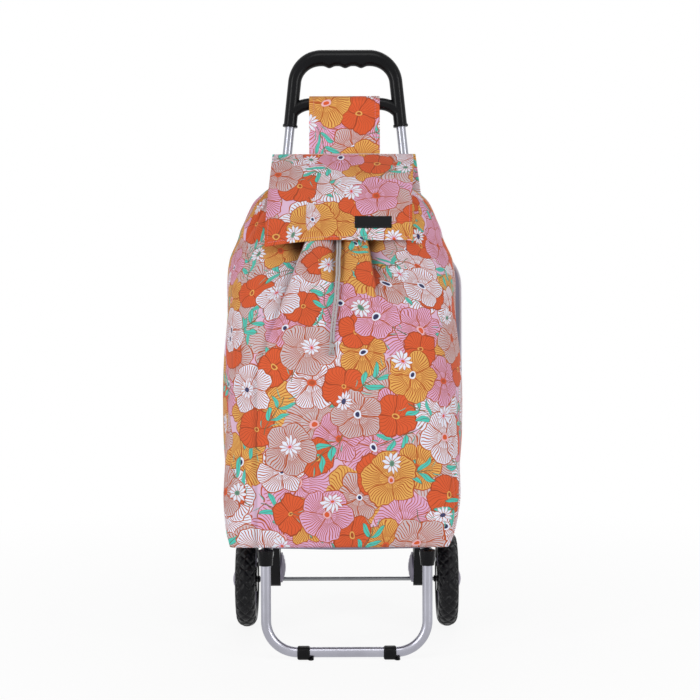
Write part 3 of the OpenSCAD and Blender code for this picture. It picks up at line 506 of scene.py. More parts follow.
def lay(tree, under, known, layers):
    """Paints layers over what lies under them. Each is the name of a mask, and a colour."""
    for mask, colour in layers:
        under = add(tree, "Mix", {0: known[mask], 6: under, 7: colour}, out=2, data_type="RGBA")
    return under


print("lines are", LINE)

# %% Open flowers


def blooms(
    tree, place, under, cell, turn, start, radius, petals, swatches, eyes,
    veins=11, notch=0.27, point=0.42, frill=0.012, line=0.9, fine=0.72, eye=6.2, ink=LINE,
):
    """One layer of open flowers, one to each cell: rounded petals with an outline, thin wavy veins and an
    eye. Sizes are in mm, notch and frill in shares of the radius."""
    known = scatter(tree, place, cell, turn, start, 0.14)
    steps = [
        ("full", "MULTIPLY_ADD", "size", 0.16 * radius, 0.88 * radius),
        ("petal", "MULTIPLY", "angle", petals / (2 * math.pi)),
        ("u", "PINGPONG", "petal", 0.5),
        ("u2", "MULTIPLY", "u", 2),
        ("soft", "POWER", "u2", point),
        ("lobe", "MULTIPLY_ADD", "soft", notch, 1 - notch),
        ("many", "MULTIPLY", "angle", 19.0),
        ("wave", "SINE", "many"),
        ("frilled", "MULTIPLY_ADD", "wave", frill, "lobe"),
        ("edge", "MULTIPLY", "full", "frilled"),
        ("inside", "LESS_THAN", "r", "edge"),
        ("rim", "COMPARE", "r", "edge", line),
        ("side_way", "MULTIPLY", "u", "r"),
        ("side", "LESS_THAN", "side_way", line * petals / (2 * math.pi)),
        ("bend", "MULTIPLY", "r", 0.2),
        ("bent", "SINE", "bend"),
        ("rib", "MULTIPLY", "petal", veins),
        ("curved", "MULTIPLY_ADD", "bent", 0.3, "rib"),
        ("v", "PINGPONG", "curved", 0.5),
        ("rib_way", "MULTIPLY", "v", "r"),
        ("taper", "MULTIPLY_ADD", "r", 0.5 / radius, 0.5),
        ("wide", "MULTIPLY", "taper", fine * petals * veins / (2 * math.pi)),
        ("thin", "LESS_THAN", "rib_way", "wide"),
        ("pair", "PINGPONG", "curved", 1.0),
        ("main", "LESS_THAN", "pair", 0.5),
        ("far_out", "GREATER_THAN", "r", 0.34 * radius),
        ("shown", "MAXIMUM", "main", "far_out"),
        ("short", "MULTIPLY", "edge", 0.95),
        ("kept", "LESS_THAN", "r", "short"),
        ("vein", "MULTIPLY", "thin", "kept"),
        ("veined", "MULTIPLY", "vein", "shown"),
        ("drawn", "MAXIMUM", "side", "veined"),
        ("drawn_in", "MULTIPLY", "drawn", "inside"),
        ("ink", "MAXIMUM", "drawn_in", "rim"),
        ("ring", "LESS_THAN", "r", eye),
        ("heart", "LESS_THAN", "r", eye * 0.6),
    ]
    work_out(tree, known, steps)
    rings, hearts = zip(*eyes)
    petal_colour = palette(tree, known["lot"], swatches)
    ring_colour, heart_colour = palette(tree, known["size"], rings), palette(tree, known["size"], hearts)
    layers = [("inside", petal_colour), ("ink", paint(ink)), ("ring", ring_colour), ("heart", heart_colour)]
    return lay(tree, under, known, layers)


print("petals, veins and eyes ready")

# %% Leaf sprigs
LEAF, LEAF_LINE = "#4fcaba", "#5d6a4a"


def sprigs(tree, place, under, cell, turn, start):
    """One layer of leaf sprigs: a thin curved stem with pairs of slanting leaves. Sizes are in mm."""
    length, pitch, reach, belly = 34.0, 21.0, 21.0, 6.6
    known = scatter(tree, place, cell, turn, start, 0.3)
    steps = [
        ("cos", "COSINE", "angle"),
        ("sin", "SINE", "angle"),
        ("a", "MULTIPLY", "r", "cos"),
        ("b", "MULTIPLY", "r", "sin"),
        ("far", "MULTIPLY", "a", 0.055),
        ("bow", "SINE", "far"),
        ("b2", "MULTIPLY_ADD", "bow", 6.0, "b"),
        ("out", "ABSOLUTE", "b2"),
        ("slant", "MULTIPLY_ADD", "out", -1.05, "a"),
        ("leaf_n", "MULTIPLY", "slant", 1 / pitch),
        ("p", "PINGPONG", "leaf_n", 0.5),
        ("off", "SUBTRACT", 0.5, "p"),
        ("off_mm", "MULTIPLY", "off", pitch),
        ("up", "MULTIPLY", "out", math.pi / reach),
        ("belly", "SINE", "up"),
        ("wide", "MULTIPLY", "belly", belly),
        ("in_leaf", "LESS_THAN", "off_mm", "wide"),
        ("low", "LESS_THAN", "out", reach),
        ("long", "ABSOLUTE", "slant"),
        ("near", "LESS_THAN", "long", length * 0.8),
        ("leaf", "MULTIPLY", "in_leaf", "low"),
        ("leaf2", "MULTIPLY", "leaf", "near"),
        ("rib", "LESS_THAN", "off_mm", 0.5),
        ("edge", "COMPARE", "off_mm", "wide", 0.75),
        ("lines", "MAXIMUM", "rib", "edge"),
        ("lines2", "MULTIPLY", "lines", "leaf2"),
        ("thin", "LESS_THAN", "out", 0.7),
        ("run", "ABSOLUTE", "a"),
        ("within", "LESS_THAN", "run", length),
        ("stem", "MULTIPLY", "thin", "within"),
        ("ink", "MAXIMUM", "lines2", "stem"),
    ]
    work_out(tree, known, steps)
    return lay(tree, under, known, [("leaf2", paint(LEAF)), ("ink", paint(LEAF_LINE))])


print("a sprig's line is", LEAF_LINE)

# %% Printed canvas
GREIGE, ROSE, WHITE, OCHRE, ORANGE = "#cfc0c4", "#e2afd3", "#ebeefb", "#e5b05a", "#dc5a2c"
NAVY, GREEN, PINK_GROUND = "#2a2a55", "#6e9c86", "#e3bdd8"
EYES = [(WHITE, NAVY), (ORANGE, "#b8502c"), ("#e9b9c0", ORANGE)]
POPPY_EYES = [(OCHRE, "#a9441f")]
DAISY_EYES = [(NAVY, "#3b3b66"), (GREEN, "#587f6c"), (ROSE, ORANGE)]
POPPY = {"veins": 8, "notch": 0.2, "fine": 0.36, "eye": 4.5, "ink": "#a8421c"}
DAISY = {"veins": 1, "notch": 0.55, "point": 0.6, "frill": 0, "fine": 0.05, "line": 0.5, "eye": 4.2}
# What is drawn, its cell, turn and start, then a flower's radius, petals, swatches, eyes and details.
LAYERS = [
    (blooms, 92, 0.35, 3.2, 58, 5, [GREIGE, OCHRE, WHITE, ROSE], EYES, {}),
    (sprigs, 101, 0.5, 0.21, {}),
    (blooms, 97, 1.12, 7.7, 43, 6, [OCHRE, ROSE, GREIGE, WHITE], EYES, {"veins": 9}),
    (blooms, 104, 1.9, 11.3, 34, 4, [ORANGE], POPPY_EYES, POPPY),
    (sprigs, 112, 2.0, 5.4, {}),
    (blooms, 116, 2.6, 15.1, 45, 5, [GREIGE, ROSE, OCHRE, WHITE, GREIGE], EYES, {}),
    (blooms, 112, 0.9, 19.6, 17, 11, [WHITE], DAISY_EYES, DAISY),
]
# The second number is how much the painted fold shade darkens the print at most.
HAND_DRIFT, PAINTED_FOLD_DARK = 16.0, 0.9
printed_canvas, tree, shader = new_material("printed_polyester_canvas")
flat = cloth_place(tree)
hand = add(tree, "TexNoise", {"Vector": flat, "Scale": 0.034, "Detail": 1.0}, out="Color")
shaky = add(tree, "VectorMath", [hand, (0.5, 0.5, 0.5)], operation="SUBTRACT")
drift = add(tree, "VectorMath", {0: shaky, "Scale": HAND_DRIFT}, operation="SCALE")
drawn = add(tree, "VectorMath", [flat, drift], operation="ADD")
print_colour = paint(PINK_GROUND)
for draw, *sizes, details in LAYERS:
    print_colour = draw(tree, drawn, print_colour, *sizes, **details)
known = {"height": weave(tree, flat, CANVAS_THREAD)}
known["fade"] = add(tree, "TexNoise", {"Vector": flat, "Scale": 0.012, "Detail": 3.0}, out="Fac")
known["fold"] = add(tree, "Attribute", out="Fac", attribute_name="painted_fold_shade")
# The print's tone fades at random over wide patches. On top of that, the thread tops are painted 6% lighter
# than the gaps between threads, a painted shade of the weave, and the painted fold shade darkens the deep
# folds.
steps = [
    ("faded", "MULTIPLY_ADD", "fade", 0.16, 0.86),
    ("light", "MULTIPLY_ADD", "height", 0.06, "faded"),
    ("open", "MULTIPLY_ADD", "fold", -PAINTED_FOLD_DARK, 1),
    ("faded_with_painted_shade", "MULTIPLY", "light", "open"),
]
work_out(tree, known, steps)
woven = add(tree, "VectorMath", {0: print_colour, "Scale": known["faded_with_painted_shade"]}, operation="SCALE")
bump = add(tree, "Bump", {"Height": known["height"], "Strength": 0.4, "Distance": WEAVE_DEPTH * MM})
fill(tree, shader, {"Base Color": woven, "Normal": bump, "Roughness": 0.88, "Sheen Weight": 0.08})
pink_thread = plain_cloth("pink_polyester_thread", "#dba3ae", "#c98a97", 0.6)
black_thread = plain_cloth("black_polyester_thread", "#2a2a2e", "#1c1c20", 0.6)
grey_thread = plain_cloth("grey_polyester_thread", "#b3afbd", "#9a95a6", 0.6)
print("print nodes:", len(tree.nodes))

# %% [markdown]
# ## The drawcords
# Two braided cords come out of the casing under the flap, pass its edge and hang down the middle fold to
# a knot. They are limp, so they lie on the cloth all the way. Each is a tube with the two sets of crossing
# ridges that a braid shows.

# %% Drawcords
CORD_D, UNDER_DEPTH = 3.5, 2.8
STRAND_X = CORD_D / 2 + CLOTH_GAP
LAY_LENGTH, RIDGE = 9.0, 0.11
# Distance to the left and height above the flap's edge.
ROUTE_UNDER = [(8, 70), (9, 60), (9, 50), (10, 40), (10, 30), (10, 20), (11, 10), (11, 3)]
# Distance to the left, distance back from the edge and height above it.
ROUTE_EDGE = [(11, 3, -1), (11, -3, -4)]
# Distance to the left, distance out from the bag's front and distance below the flap's edge.
ROUTE_FRONT = [
    (11, 1.2, 10), (11, 1.2, 13), (11, 1.2, 16), (11, 1.2, 20), (12, 1.2, 24), (12, 1, 29), (12, 0.8, 35),
    (12, 0, 40), (12, 0, 46), (12, 0.8, 53), (13, 1.6, 60), (13, 2.4, 68), (14, 2.8, 76), (14, 2.8, 84),
    (15, 2.6, 92), (16, 2.5, 100), (17, 2.5, 108), (18, 2.5, 116), (19, 2.5, 124), (20, 2.5, 132),
    (20.5, 2.5, 141), (21, 2.5, 148), (21, 3.4, 154.5),
]


def cord_route(side):
    """The points that one cord follows, in mm."""
    left = STRAND_X * side
    points = []
    for x, up in ROUTE_UNDER:
        z = flap_edge_z + up
        points.append((left - x, under_flap(z, UNDER_DEPTH - CLOTH_GAP), z))
    points += [(left - x, flap_edge_y + back, flap_edge_z + up) for x, back, up in ROUTE_EDGE]
    for x, out, down in ROUTE_FRONT:
        z = flap_edge_z - down
        points.append((left - x, np.interp(z, row_z, row_front) - out, z))
    return points


def braid(far, sides, radius):
    """The radius of a braided cord at each distance along it and at each side."""
    turn = far[:, None] * 2 * math.pi / LAY_LENGTH
    ways = [np.cos(4 * (all_round(sides)[None] + way * turn)) for way in (1, -1)]
    return radius + RIDGE * (np.maximum(*ways) - 1)


cords = []
for side, name in ((-1, "drawcord_left"), (1, "drawcord_right")):
    path = smooth_path(cord_route(side), 0.8)
    far = along(path)
    cord = tube("cord_" + name, path, braid(far, TUBE_SIDES, CORD_D / 2), CORD_D)
    finish_piece(cord, "frame", "cord", cord_braid, replaced=[name])
    cords.append((cord, path, far[-1]))
    print(name, "is", round(far[-1]), "mm long")

# %% [markdown]
# ## The knot
# Both cords end in one overhand knot: two fat turns across each other, with short frayed ends below it.

# %% Knot
rng = np.random.default_rng(7)
KNOT_DOWN, KNOT_OUT, KNOT_CORD_R, FRAYED_STRANDS = 159.5, 6, 1.65, 34
knot_x = -ROUTE_FRONT[-1][0]
knot_z = flap_edge_z - KNOT_DOWN
knot_y = np.interp(knot_z, row_z, row_front) - KNOT_OUT
knot_turns, knot_cloths = [], []
turn = all_round(48)
# Height above the knot's middle, tilt in degrees and radius of each turn.
for up, tip, wide in ((1.6, 18, 3.3), (-1.6, -20, 3.3), (0.2, 74, 2.6)):
    tip = math.radians(tip)
    x, y = wide * np.cos(turn), wide * 0.9 * np.sin(turn)
    z = up - x * math.sin(tip) + 0.4 * np.sin(2 * turn)
    loop = together(knot_x + x * math.cos(tip), knot_y + y, knot_z + z)
    knot_turns.append(sweep(loop, braid(turn * wide, 12, KNOT_CORD_R), 12, closed=True))
    far = np.linspace(0, 2 * math.pi * wide, 49)
    knot_cloths.append(together(far[:, None], np.linspace(0, 11, 13)[None]))
knot = grid_mesh("cord_knot", knot_turns, wrap=True, ring=True, cloths=knot_cloths)
finish_piece(knot, "frame", "cord", cord_braid, replaced=["drawcord_knot"])
strands = []
for number in range(FRAYED_STRANDS):
    sway = rng.normal(0, 1, 4)
    side = -1 if number % 2 else 1
    start = np.array([knot_x + side * 1.4 + 0.5 * sway[0], knot_y + 0.6 * sway[1], knot_z - 2.5])
    t = np.linspace(0, 1, 9)[:, None]
    length = 9 + 3.4 * rng.random()
    way = np.array([side * 1.6 + sway[2] - 1.2, 0.5 * sway[3] - 0.38 * length, -length])
    strand = start + way * t + np.array([0.8 * sway[1], 0.4 * sway[0], 0]) * np.sin(3 * t) * t
    strands.append(sweep(strand, np.linspace(0.6, 0.35, 9)[:, None], 6))
frayed = grid_mesh("cord_frayed_ends", strands, wrap=True, caps=True)
finish_piece(frayed, "frame", "cord", cord_braid)
print("frayed strands:", len(strands))

# %% [markdown]
# ## Stitches
# Rows of stitches hold the cloth's edges. Each stitch is a short thread that dips into the cloth at both
# ends, so a row of them is a row of small bumps along a line on a grid.

# %% Stitch helpers
STITCH_RISE, STITCH_WIDTH = np.array([-1, 1, 1.2, 1, -1]), np.array([0.6, 1, 1, 1, 0.6])


def on_grid(grid, rows, columns):
    """Points and outward directions at fractional rows and columns of a grid."""
    r = np.clip(rows, 0, grid.shape[0] - 1.001)
    c = np.clip(columns, 0, grid.shape[1] - 1.001)
    i, j = r.astype(int), c.astype(int)
    a, b = (r - i)[:, None], (c - j)[:, None]
    here, right, above, far = grid[i, j], grid[i, j + 1], grid[i + 1, j], grid[i + 1, j + 1]
    point = (1 - a) * ((1 - b) * here + b * right) + a * ((1 - b) * above + b * far)
    out = np.cross(right - here, above - here)
    return point, out / np.maximum(np.linalg.norm(out, axis=1, keepdims=True), 1e-9)


def line_on(grid, row, column, count):
    """A straight line on a grid, from shares of its rows and columns: each a number or a pair of ends."""
    ends = (share if isinstance(share, tuple) else (share, share) for share in (row, column))
    return [np.linspace(*pair, count) * (size - 1) for pair, size in zip(ends, grid.shape)]


def stitch_row(grid, row, column, lift, count=120, pitch=4.2, length=3.1, thread=0.7):
    """Short threads along a line on a grid, that far in mm outside it. count is the line's points."""
    point, out = on_grid(grid, *line_on(grid, row, column, count))
    far = along(point)
    made = []
    for start in np.arange(0.5, far[-1] - length, pitch):
        t = start + np.linspace(0, length, 5)
        middle, raised = (together(*(np.interp(t, far, v[:, k]) for k in range(3))) for v in (point, out))
        middle += raised * (lift * STITCH_RISE)[:, None]
        made.append(sweep(middle, thread / 2 * STITCH_WIDTH[:, None], 6, side_on=out[0]))
    return made


def sew(name, grid, lines, body="frame", finish=pink_thread, **stitches):
    """Sews rows of stitches along lines on a grid, and makes them one piece."""
    threads = [thread for line in lines for thread in stitch_row(grid, *line, **stitches)]
    piece = grid_mesh(name, threads, wrap=True, caps=True)
    print(name, "has", len(threads), "stitches")
    return finish_piece(piece, body, "print_fabric", finish)


print("stitch helpers ready, with", len(STITCH_RISE), "rings to a stitch")

# %% [markdown]
# ## The bag
# The bag is a tube of canvas: a flat-fronted box below, gathered to a small mouth above. A plain CAD
# solid shows that form but not the cloth. Here each row of the tube is a rounded rectangle, and the folds
# are worked into it where the cord pulls the neck in: a valley in the middle where the cords hang, and a
# sharp fold on each side that fades out as it runs down. The cloth's own length along and around the
# tube becomes the flat pattern, so the print bunches up only where the real one does.

# %% Smooth curves


def ease(t):
    """0 below 0, 1 above 1, and a smooth step between."""
    t = np.clip(t, 0, 1)
    return t * t * (3 - 2 * t)


def rise(x, start, length):
    """0 up to the start, 1 from a length past it, and a smooth step between."""
    return ease((x - start) / length)


def bell(x, middle, width):
    """1 at the middle, and less with the distance from it."""
    return np.exp(-(((x - middle) / width) ** 2))


def fade_out(distance, reach):
    """1 up to a place, and less with the distance past it."""
    return np.exp(-np.maximum(distance, 0) / reach)


print("a step is half way up in its middle:", rise(5, 0, 10))

# %% Bag rows
BOTTOM_ROWS, TOP_ROWS, CLOSE_FROM = 64, 126, 470
EASED_ROWS = 9
low_rows = np.linspace(bottom_z, CLOSE_FROM, BOTTOM_ROWS)
heights = np.concatenate([low_rows, np.linspace(CLOSE_FROM, mouth_z, TOP_ROWS)[1:]])


def by_height(values):
    """A table's value at each row, with its corners eased."""
    value = np.interp(heights, row_z, values)
    window = np.hanning(EASED_ROWS + 2)[1:-1]
    padded = np.pad(value, EASED_ROWS // 2, mode="reflect", reflect_type="odd")
    return np.convolve(padded, window / window.sum(), mode="valid")


half_width, front_line, back_line = by_height(row_half), by_height(row_front), bag_back(heights)
gathered = np.clip((heights - neck_z) / (mouth_z - neck_z), 0, 1)
above_base = heights - bottom_z
lean_left = -5.5 - 5.5 * fade_out(above_base, 60)
# The left side slumps outward near the neck. The right one swells there and is tucked in below.
LEFT_SLUMP = 11 * bell(heights, 690, 75)
RIGHT_SWELL = 6 * bell(heights, 700, 50) - 3.5 * bell(heights, 540, 60)
print("bag rows:", len(heights))

# %% [markdown]
# Each fold is a product of a few simple curves. In them, rise(z, 545, 95) means that a fold starts 545 mm
# above the floor and has all its depth 95 mm higher up.

# %% Folds


def sharp_fold(t, depth, reach, tuck=3.0):
    """A fold beside an edge: a steep drop over the tuck, then a slow rise outward over the reach."""
    drop = depth * rise(t, -tuck / 2, tuck) * fade_out(t, reach)
    return drop - 0.22 * depth * fade_out(abs(t + 5), 12) * (t < 0)


def creases(x, z, count=40):
    """Small soft creases that run every way, mostly upright, in mm."""
    pick = np.random.default_rng(21)
    total = 0 * x
    for _ in range(count):
        wavelength, tilt = pick.uniform(26, 95), pick.normal(0, 0.55)
        size, phase = 0.012 * wavelength, pick.uniform(0, 2 * math.pi)
        across_it = x * math.cos(tilt) + z * math.sin(tilt)
        total = total + size * np.sin(2 * math.pi / wavelength * across_it + phase)
    return total / math.sqrt(count / 2)


def pleat_edges(z):
    """Where the left and right pleat and the middle valley run at a height."""
    below = np.clip(flap_edge_z - z, 0, 200)
    return -66 - 0.36 * below, 36 + 0.16 * below, -12 - 0.04 * np.minimum(below, 100)


def fold_depth(x, z):
    """How far the front is pushed in, in mm."""
    below = flap_edge_z - z
    left_edge, right_edge, valley_x = pleat_edges(z)
    left = sharp_fold(left_edge - x, 11 * rise(z, 500, 110) + 17 * rise(z, 585, 60), 26)
    right = sharp_fold(x - right_edge, 20 * rise(z, 545, 95), 22)
    valley = 15 * rise(z, 560, 75) * bell(x, valley_x, 9.5)
    soft = 3.2 * rise(z, 450, 140) * np.sin((x + 0.25 * below) / 21 + 0.8)
    broad = 1.3 * np.sin(x / 61 + z / 140) + 1.0 * np.sin(x / 37 - z / 83 + 2.1)
    small = creases(x, z) * (0.7 + 1.6 * bell(z, 600, 75))
    over_line = np.interp(z, (600, 625, 656, 719), (-200, -185, -161, -126)) - x
    shoulder = 11 * rise(over_line, -2, 5) * rise(z, 600, 30) + 4 * bell(over_line, 0, 4) * rise(z, 610, 20)
    return left + right + valley + soft + shoulder + (broad + small) * rise(z, bottom_z, 60)


def tucked_cloth(x, z):
    """How much cloth the pleats hide between the middle of the front and a place on it, in mm."""
    left_edge, right_edge, valley_x = pleat_edges(z)
    left = -46 * rise(z, 525, 130) * rise(left_edge - x, -1.5, 3)
    right = 38 * rise(z, 545, 110) * rise(x - right_edge, -1.5, 3)
    return left + right + 9 * rise(z, 565, 70) * np.tanh((x - valley_x) / 5)


def painted_fold_shade(x, z):
    """The painted shade of the folds, from 0 to 1: the print is darkened where a place lies deep in a fold,
    since little light gets in there.
    """
    left_edge, right_edge, valley_x = pleat_edges(z)
    low = np.clip(flap_edge_z - z, 0, 60)
    t = left_edge - x
    past = rise(t, np.clip(14 - 0.5 * low, 0, 14), 28 - 0.25 * low)
    left = rise(t, -0.5, 2) * (1 - past) * fade_out(low, 48)
    left = np.maximum(left, 0.5 * rise(t, -0.5, 2) * fade_out(t, 8) * rise(z, 520, 60))
    t = x - right_edge
    right = rise(t, -0.5, 2) * fade_out(t, 12) * rise(z, 560, 70)
    valley = 0.75 * bell(x, valley_x, 8) * rise(z, 565, 80)
    return np.clip(np.maximum(np.maximum(left, right), valley), 0, 1)


def side_ripple(y, z):
    """Soft vertical waves in the sides, in mm outward."""
    return 1.6 * np.sin(y / 19 + z / 120) * rise(z, bottom_z, 80) + 1.2 * np.sin(z / 47 + y / 41)


print("pleats and valley at the flap's edge:", pleat_edges(flap_edge_z))

# %% Bag surface
PLEATS, SIDE_SEAMS, FRONT_ANGLE = 12, (222.8, 316), 270
FOLDED_HALF, HALF_DEEP = 178, 112
CLOSE, WIDE_APART = 1.35, 4.2


def squarish(c, s, power):
    """How far out a circle's points move to make it a rounded square."""
    return (abs(c) ** power + abs(s) ** power) ** (-1 / power)


def bag_columns():
    """Angles round the bag, close together in front where the folds are, and wide apart elsewhere."""
    fine = np.linspace(90, 450, 6001)
    c, s = np.cos(np.radians(fine)), np.sin(np.radians(fine))
    reach = squarish(c, s, 3.6)
    ring = together(bag_half * reach * c, HALF_DEEP * reach * s)
    spacing = np.where((s < -0.2) & (abs(ring[:, 0]) < FOLDED_HALF), CLOSE, WIDE_APART)[1:]
    share = np.concatenate([[0], np.cumsum(np.linalg.norm(np.diff(ring, axis=0), axis=1) / spacing)])
    return np.interp(np.linspace(0, share[-1], int(share[-1]) + 1), share, fine)[:-1]


def bag_surface(folds):
    """The bag's outside as rows of points, with or without its folds."""
    a = np.radians(angles)[None]
    c, s = np.cos(a), np.sin(a)
    g, up, front, back = (v[:, None] for v in (gathered, above_base, front_line, back_line))
    corner = 26 * fade_out(up, 28) + 8 * fade_out(up, 90)
    reach = squarish(c, s, np.where(s < 0, 3.8 - 1.4 * g + corner, 5 - 2.6 * g))
    pleat = 1
    if folds:
        for seam in SIDE_SEAMS:
            reach = reach * (1 - 0.008 * bell(angles[None], seam, 0.5) * (1 - g))
        pleat = 1 - 0.055 * g * (1 - np.cos(PLEATS * a)) / 2
    half_back = np.minimum(30, 0.45 * (back - front))
    middle = back - half_back
    half_deep = np.where(s < 0, middle - front, half_back)
    slump = np.where(c < 0, LEFT_SLUMP[:, None], RIGHT_SWELL[:, None])
    x = lean_left[:, None] + (half_width[:, None] + slump) * reach * c * pleat
    y = middle + half_deep * reach * s * pleat
    z = heights[:, None] + 0 * a
    if folds:
        y = y + ease(-s * 1.6) * fold_depth(x, z)
        x = x + side_ripple(y, z) * ease(abs(c) * 2 - 1) * np.sign(c)
    return together(x, y, z)


angles = bag_columns()
smooth_bag, folded_bag = bag_surface(False), bag_surface(True)
print("bag grid:", folded_bag.shape[:2])

# %% Bag cloth


def closed(values):
    """Values round the bag, with the first again at the end."""
    return np.concatenate([values, values[:, :1]], 1)


smooth_x, smooth_z, facing = smooth_bag[..., 0], smooth_bag[..., 2], np.sin(np.radians(angles))
widest = smooth_bag[np.argmax(half_width)]
round_steps = np.linalg.norm(np.diff(widest, axis=0, append=widest[:1]), axis=1)
girth = round_steps.sum()
round_bag = np.concatenate([[0], np.cumsum(round_steps)])
round_bag -= np.interp(FRONT_ANGLE, np.append(angles, angles[0] + 360), round_bag)
up_bag = closed(along(smooth_bag))
bag_cloth = together(round_bag[None] + closed(tucked_cloth(smooth_x, smooth_z) * (facing < 0)), up_bag)
# A painted shade: the print on the front is darkened in the deep pleats and the middle valley below the flap.
shade = painted_fold_shade(smooth_x, smooth_z) * (facing < -0.3) * (1 - ease(gathered * 6))[:, None]
print("girth in mm:", round(girth))

# %% Bag mesh
FLOOR_SHARES = np.array([0.04, 0.3, 0.62, 0.88, 0.975])
FLOOR_CLOTH, HEM = 90, 1.2
centre = folded_bag[0].mean(0)
floor_rows = centre + (folded_bag[0] - centre) * FLOOR_SHARES[:, None, None]
floor_rows[-1, :, 2] -= 0.3
outside = np.concatenate([floor_rows, folded_bag, folded_bag[-1:] + (0, 0, HEM)])
floor_cloth = np.repeat(bag_cloth[:1], len(FLOOR_SHARES), 0)
floor_cloth[..., 1] -= FLOOR_CLOTH * (1 - FLOOR_SHARES)[:, None]
cloths = [np.concatenate([floor_cloth, bag_cloth, bag_cloth[-1:] + (0, HEM)])]
shade = np.concatenate([np.repeat(shade[:1], len(FLOOR_SHARES), 0), shade, shade[-1:]])
bag_piece = grid_mesh("bag_canvas", outside, wrap=True, cloths=cloths, shade=shade)
thicken(bag_piece, 1.6, -1, lining=1)
finish_piece(bag_piece, "frame", "print_fabric", printed_canvas, lining, replaced=["bag_body"])
print("bag faces:", len(bag_piece.data.polygons))

# %% [markdown]
# ## The flap
# The flap is a doubled piece of canvas that covers the mouth. It hangs from the top edge, so it curves
# over the gathered neck, and its free corners droop a little.

# %% Flap
FLAP_LEFT, FLAP_RIGHT = -124, 115
FLAP_WIDE = FLAP_RIGHT - FLAP_LEFT
FLAP_ROWS, FLAP_COLUMNS = 70, 110
# Where on the printed cloth the flap is cut.
FLAP_CUT_X, FLAP_CUT_Y = 700, 900


def flap_surface(across, down, lift=0.0):
    """Points that far in mm above the flap, from shares across it and down it."""
    low_left = down**3 * np.clip(1 - across / 0.42, 0, 1) ** 1.5
    low_right = down**4 * np.clip((across - 0.85) / 0.15, 0, 1) ** 2
    angle = FLAP_SLOPE + FLAP_SWEEP * (down + 0.07 * low_left + 0.012 * low_right)
    wave = 1.7 * np.sin(6.2 * across + 0.9) * down**2 + 1.0 * np.sin(11 * across + 2 * down) * down
    radius = FLAP_R + wave + 3.5 * low_left + lift + 6 * rise(down, 0.75, 0.25)
    left_pull, right_pull = 7.0 * ease(down) * (1 - across), 6.0 * ease(down * 1.3) * across
    x = FLAP_LEFT + FLAP_WIDE * across - right_pull - left_pull
    return together(x, flap_centre_y - radius * np.sin(angle), flap_centre_z + radius * np.cos(angle))


across = np.linspace(0, 1, FLAP_COLUMNS)[None]
down = np.linspace(0, 1, FLAP_ROWS)[:, None]
flap_grid = flap_surface(across, down)
flap_length = FLAP_R * FLAP_SWEEP
flap_cloth = together(FLAP_LEFT + across * FLAP_WIDE + FLAP_CUT_X, FLAP_CUT_Y - flap_length * down)
flap_piece = grid_mesh("flap_canvas", flap_grid, cloths=[flap_cloth])
thicken(flap_piece, 2.6, 1, edge=1.0)
finish_piece(flap_piece, "flap", "print_fabric", printed_canvas, replaced=["flap"])
inset = 4.5 / FLAP_WIDE
flap_lines = [((0.03, 0.96), inset), ((0.03, 0.96), 1 - inset), (1 - 5 / flap_length, (inset, 1 - inset))]
flap_stitching = sew("flap_stitching", flap_grid, flap_lines, "flap", lift=-0.15)
print("flap is", round(flap_length), "mm long")

# %% [markdown]
# ## The patch
# A small patch of grained leatherette is sewn on the flap. It is left bare.

# %% Patch
patch_low, patch_high = box_mm("flap_patch")
PATCH_H, PATCH_LIFT, PATCH_SHIFT = 24, 1.25, 0.022
patch_across = (np.linspace(patch_low[0], patch_high[0], 40)[None] - FLAP_LEFT) / FLAP_WIDE
patch_end = 1 - math.radians(4) / FLAP_SWEEP
patch_down = np.linspace(patch_end - PATCH_H / flap_length, patch_end, 18)[:, None]
patch_grid = flap_surface(patch_across + PATCH_SHIFT, patch_down, PATCH_LIFT)
patch = grid_mesh("leatherette_patch", patch_grid)
thicken(patch, 1.1, 1, edge=0.35)
finish_piece(patch, "flap", "leatherette", leatherette, replaced=["flap_patch"])
patch_lines = [(0.09, (0.04, 0.96)), (0.91, (0.04, 0.96)), ((0.09, 0.91), 0.035), ((0.09, 0.91), 0.965)]
fine_stitches = {"count": 60, "lift": -0.12, "pitch": 2.6, "length": 1.9, "thread": 0.5}
patch_stitching = sew("patch_stitching", patch_grid, patch_lines, "flap", black_thread, **fine_stitches)

# %% [markdown]
# ## The strap and the yoke
# A wide strap loops over the handle's arched bar and is sewn to the yoke, the printed panel behind the
# flap that carries the bag.

# %% Strap
TUBE_R, ARCH_R, STRAP_T, STRAP_HALF = 8, 10.5, 2.5, 60
STRAP_CUT_X, STRAP_CUT_Y = 300, 1500
socket_h = 771
arch_h, strap_low = socket_h + 39.5, 724
strap_r = ARCH_R + CLOTH_GAP + STRAP_T / 2
over = np.radians(np.linspace(180, 0, 25))
strap_line = np.concatenate(
    [
        together(-strap_r, np.linspace(strap_low, arch_h, 41)[:-1]),
        together(strap_r * np.cos(over), arch_h + strap_r * np.sin(over)),
        together(np.linspace(strap_r, -strap_r + 2.6, 41)[1:], np.linspace(arch_h, strap_low + 8, 41)[1:]),
    ]
)
strap_x = np.linspace(-STRAP_HALF, STRAP_HALF, 41)[None]
strap_far = along(strap_line)[:, None]
bow = 1.2 * np.sin(strap_far / 21) * np.sin(strap_x / 24 + 1)
bow = bow * rise(strap_far, 4, 40) * ease((90 - strap_far) / 30)
strap_grid = lean_back(strap_x - 1.5, strap_line[:, :1] - np.clip(bow, -0.9, 1.4), strap_line[:, 1:])
strap_cloth = together(STRAP_CUT_X - strap_x, STRAP_CUT_Y + strap_far)
strap = grid_mesh("strap_canvas", strap_grid[:, ::-1], cloths=[strap_cloth])
thicken(strap, STRAP_T - 0.3, edge=0.8)
finish_piece(strap, "frame", "print_fabric", printed_canvas, replaced=["hanging_strap"])
sew("strap_stitching", strap_grid, [((0.02, 0.62), 0.065), ((0.02, 0.62), 0.935)], lift=1.25)

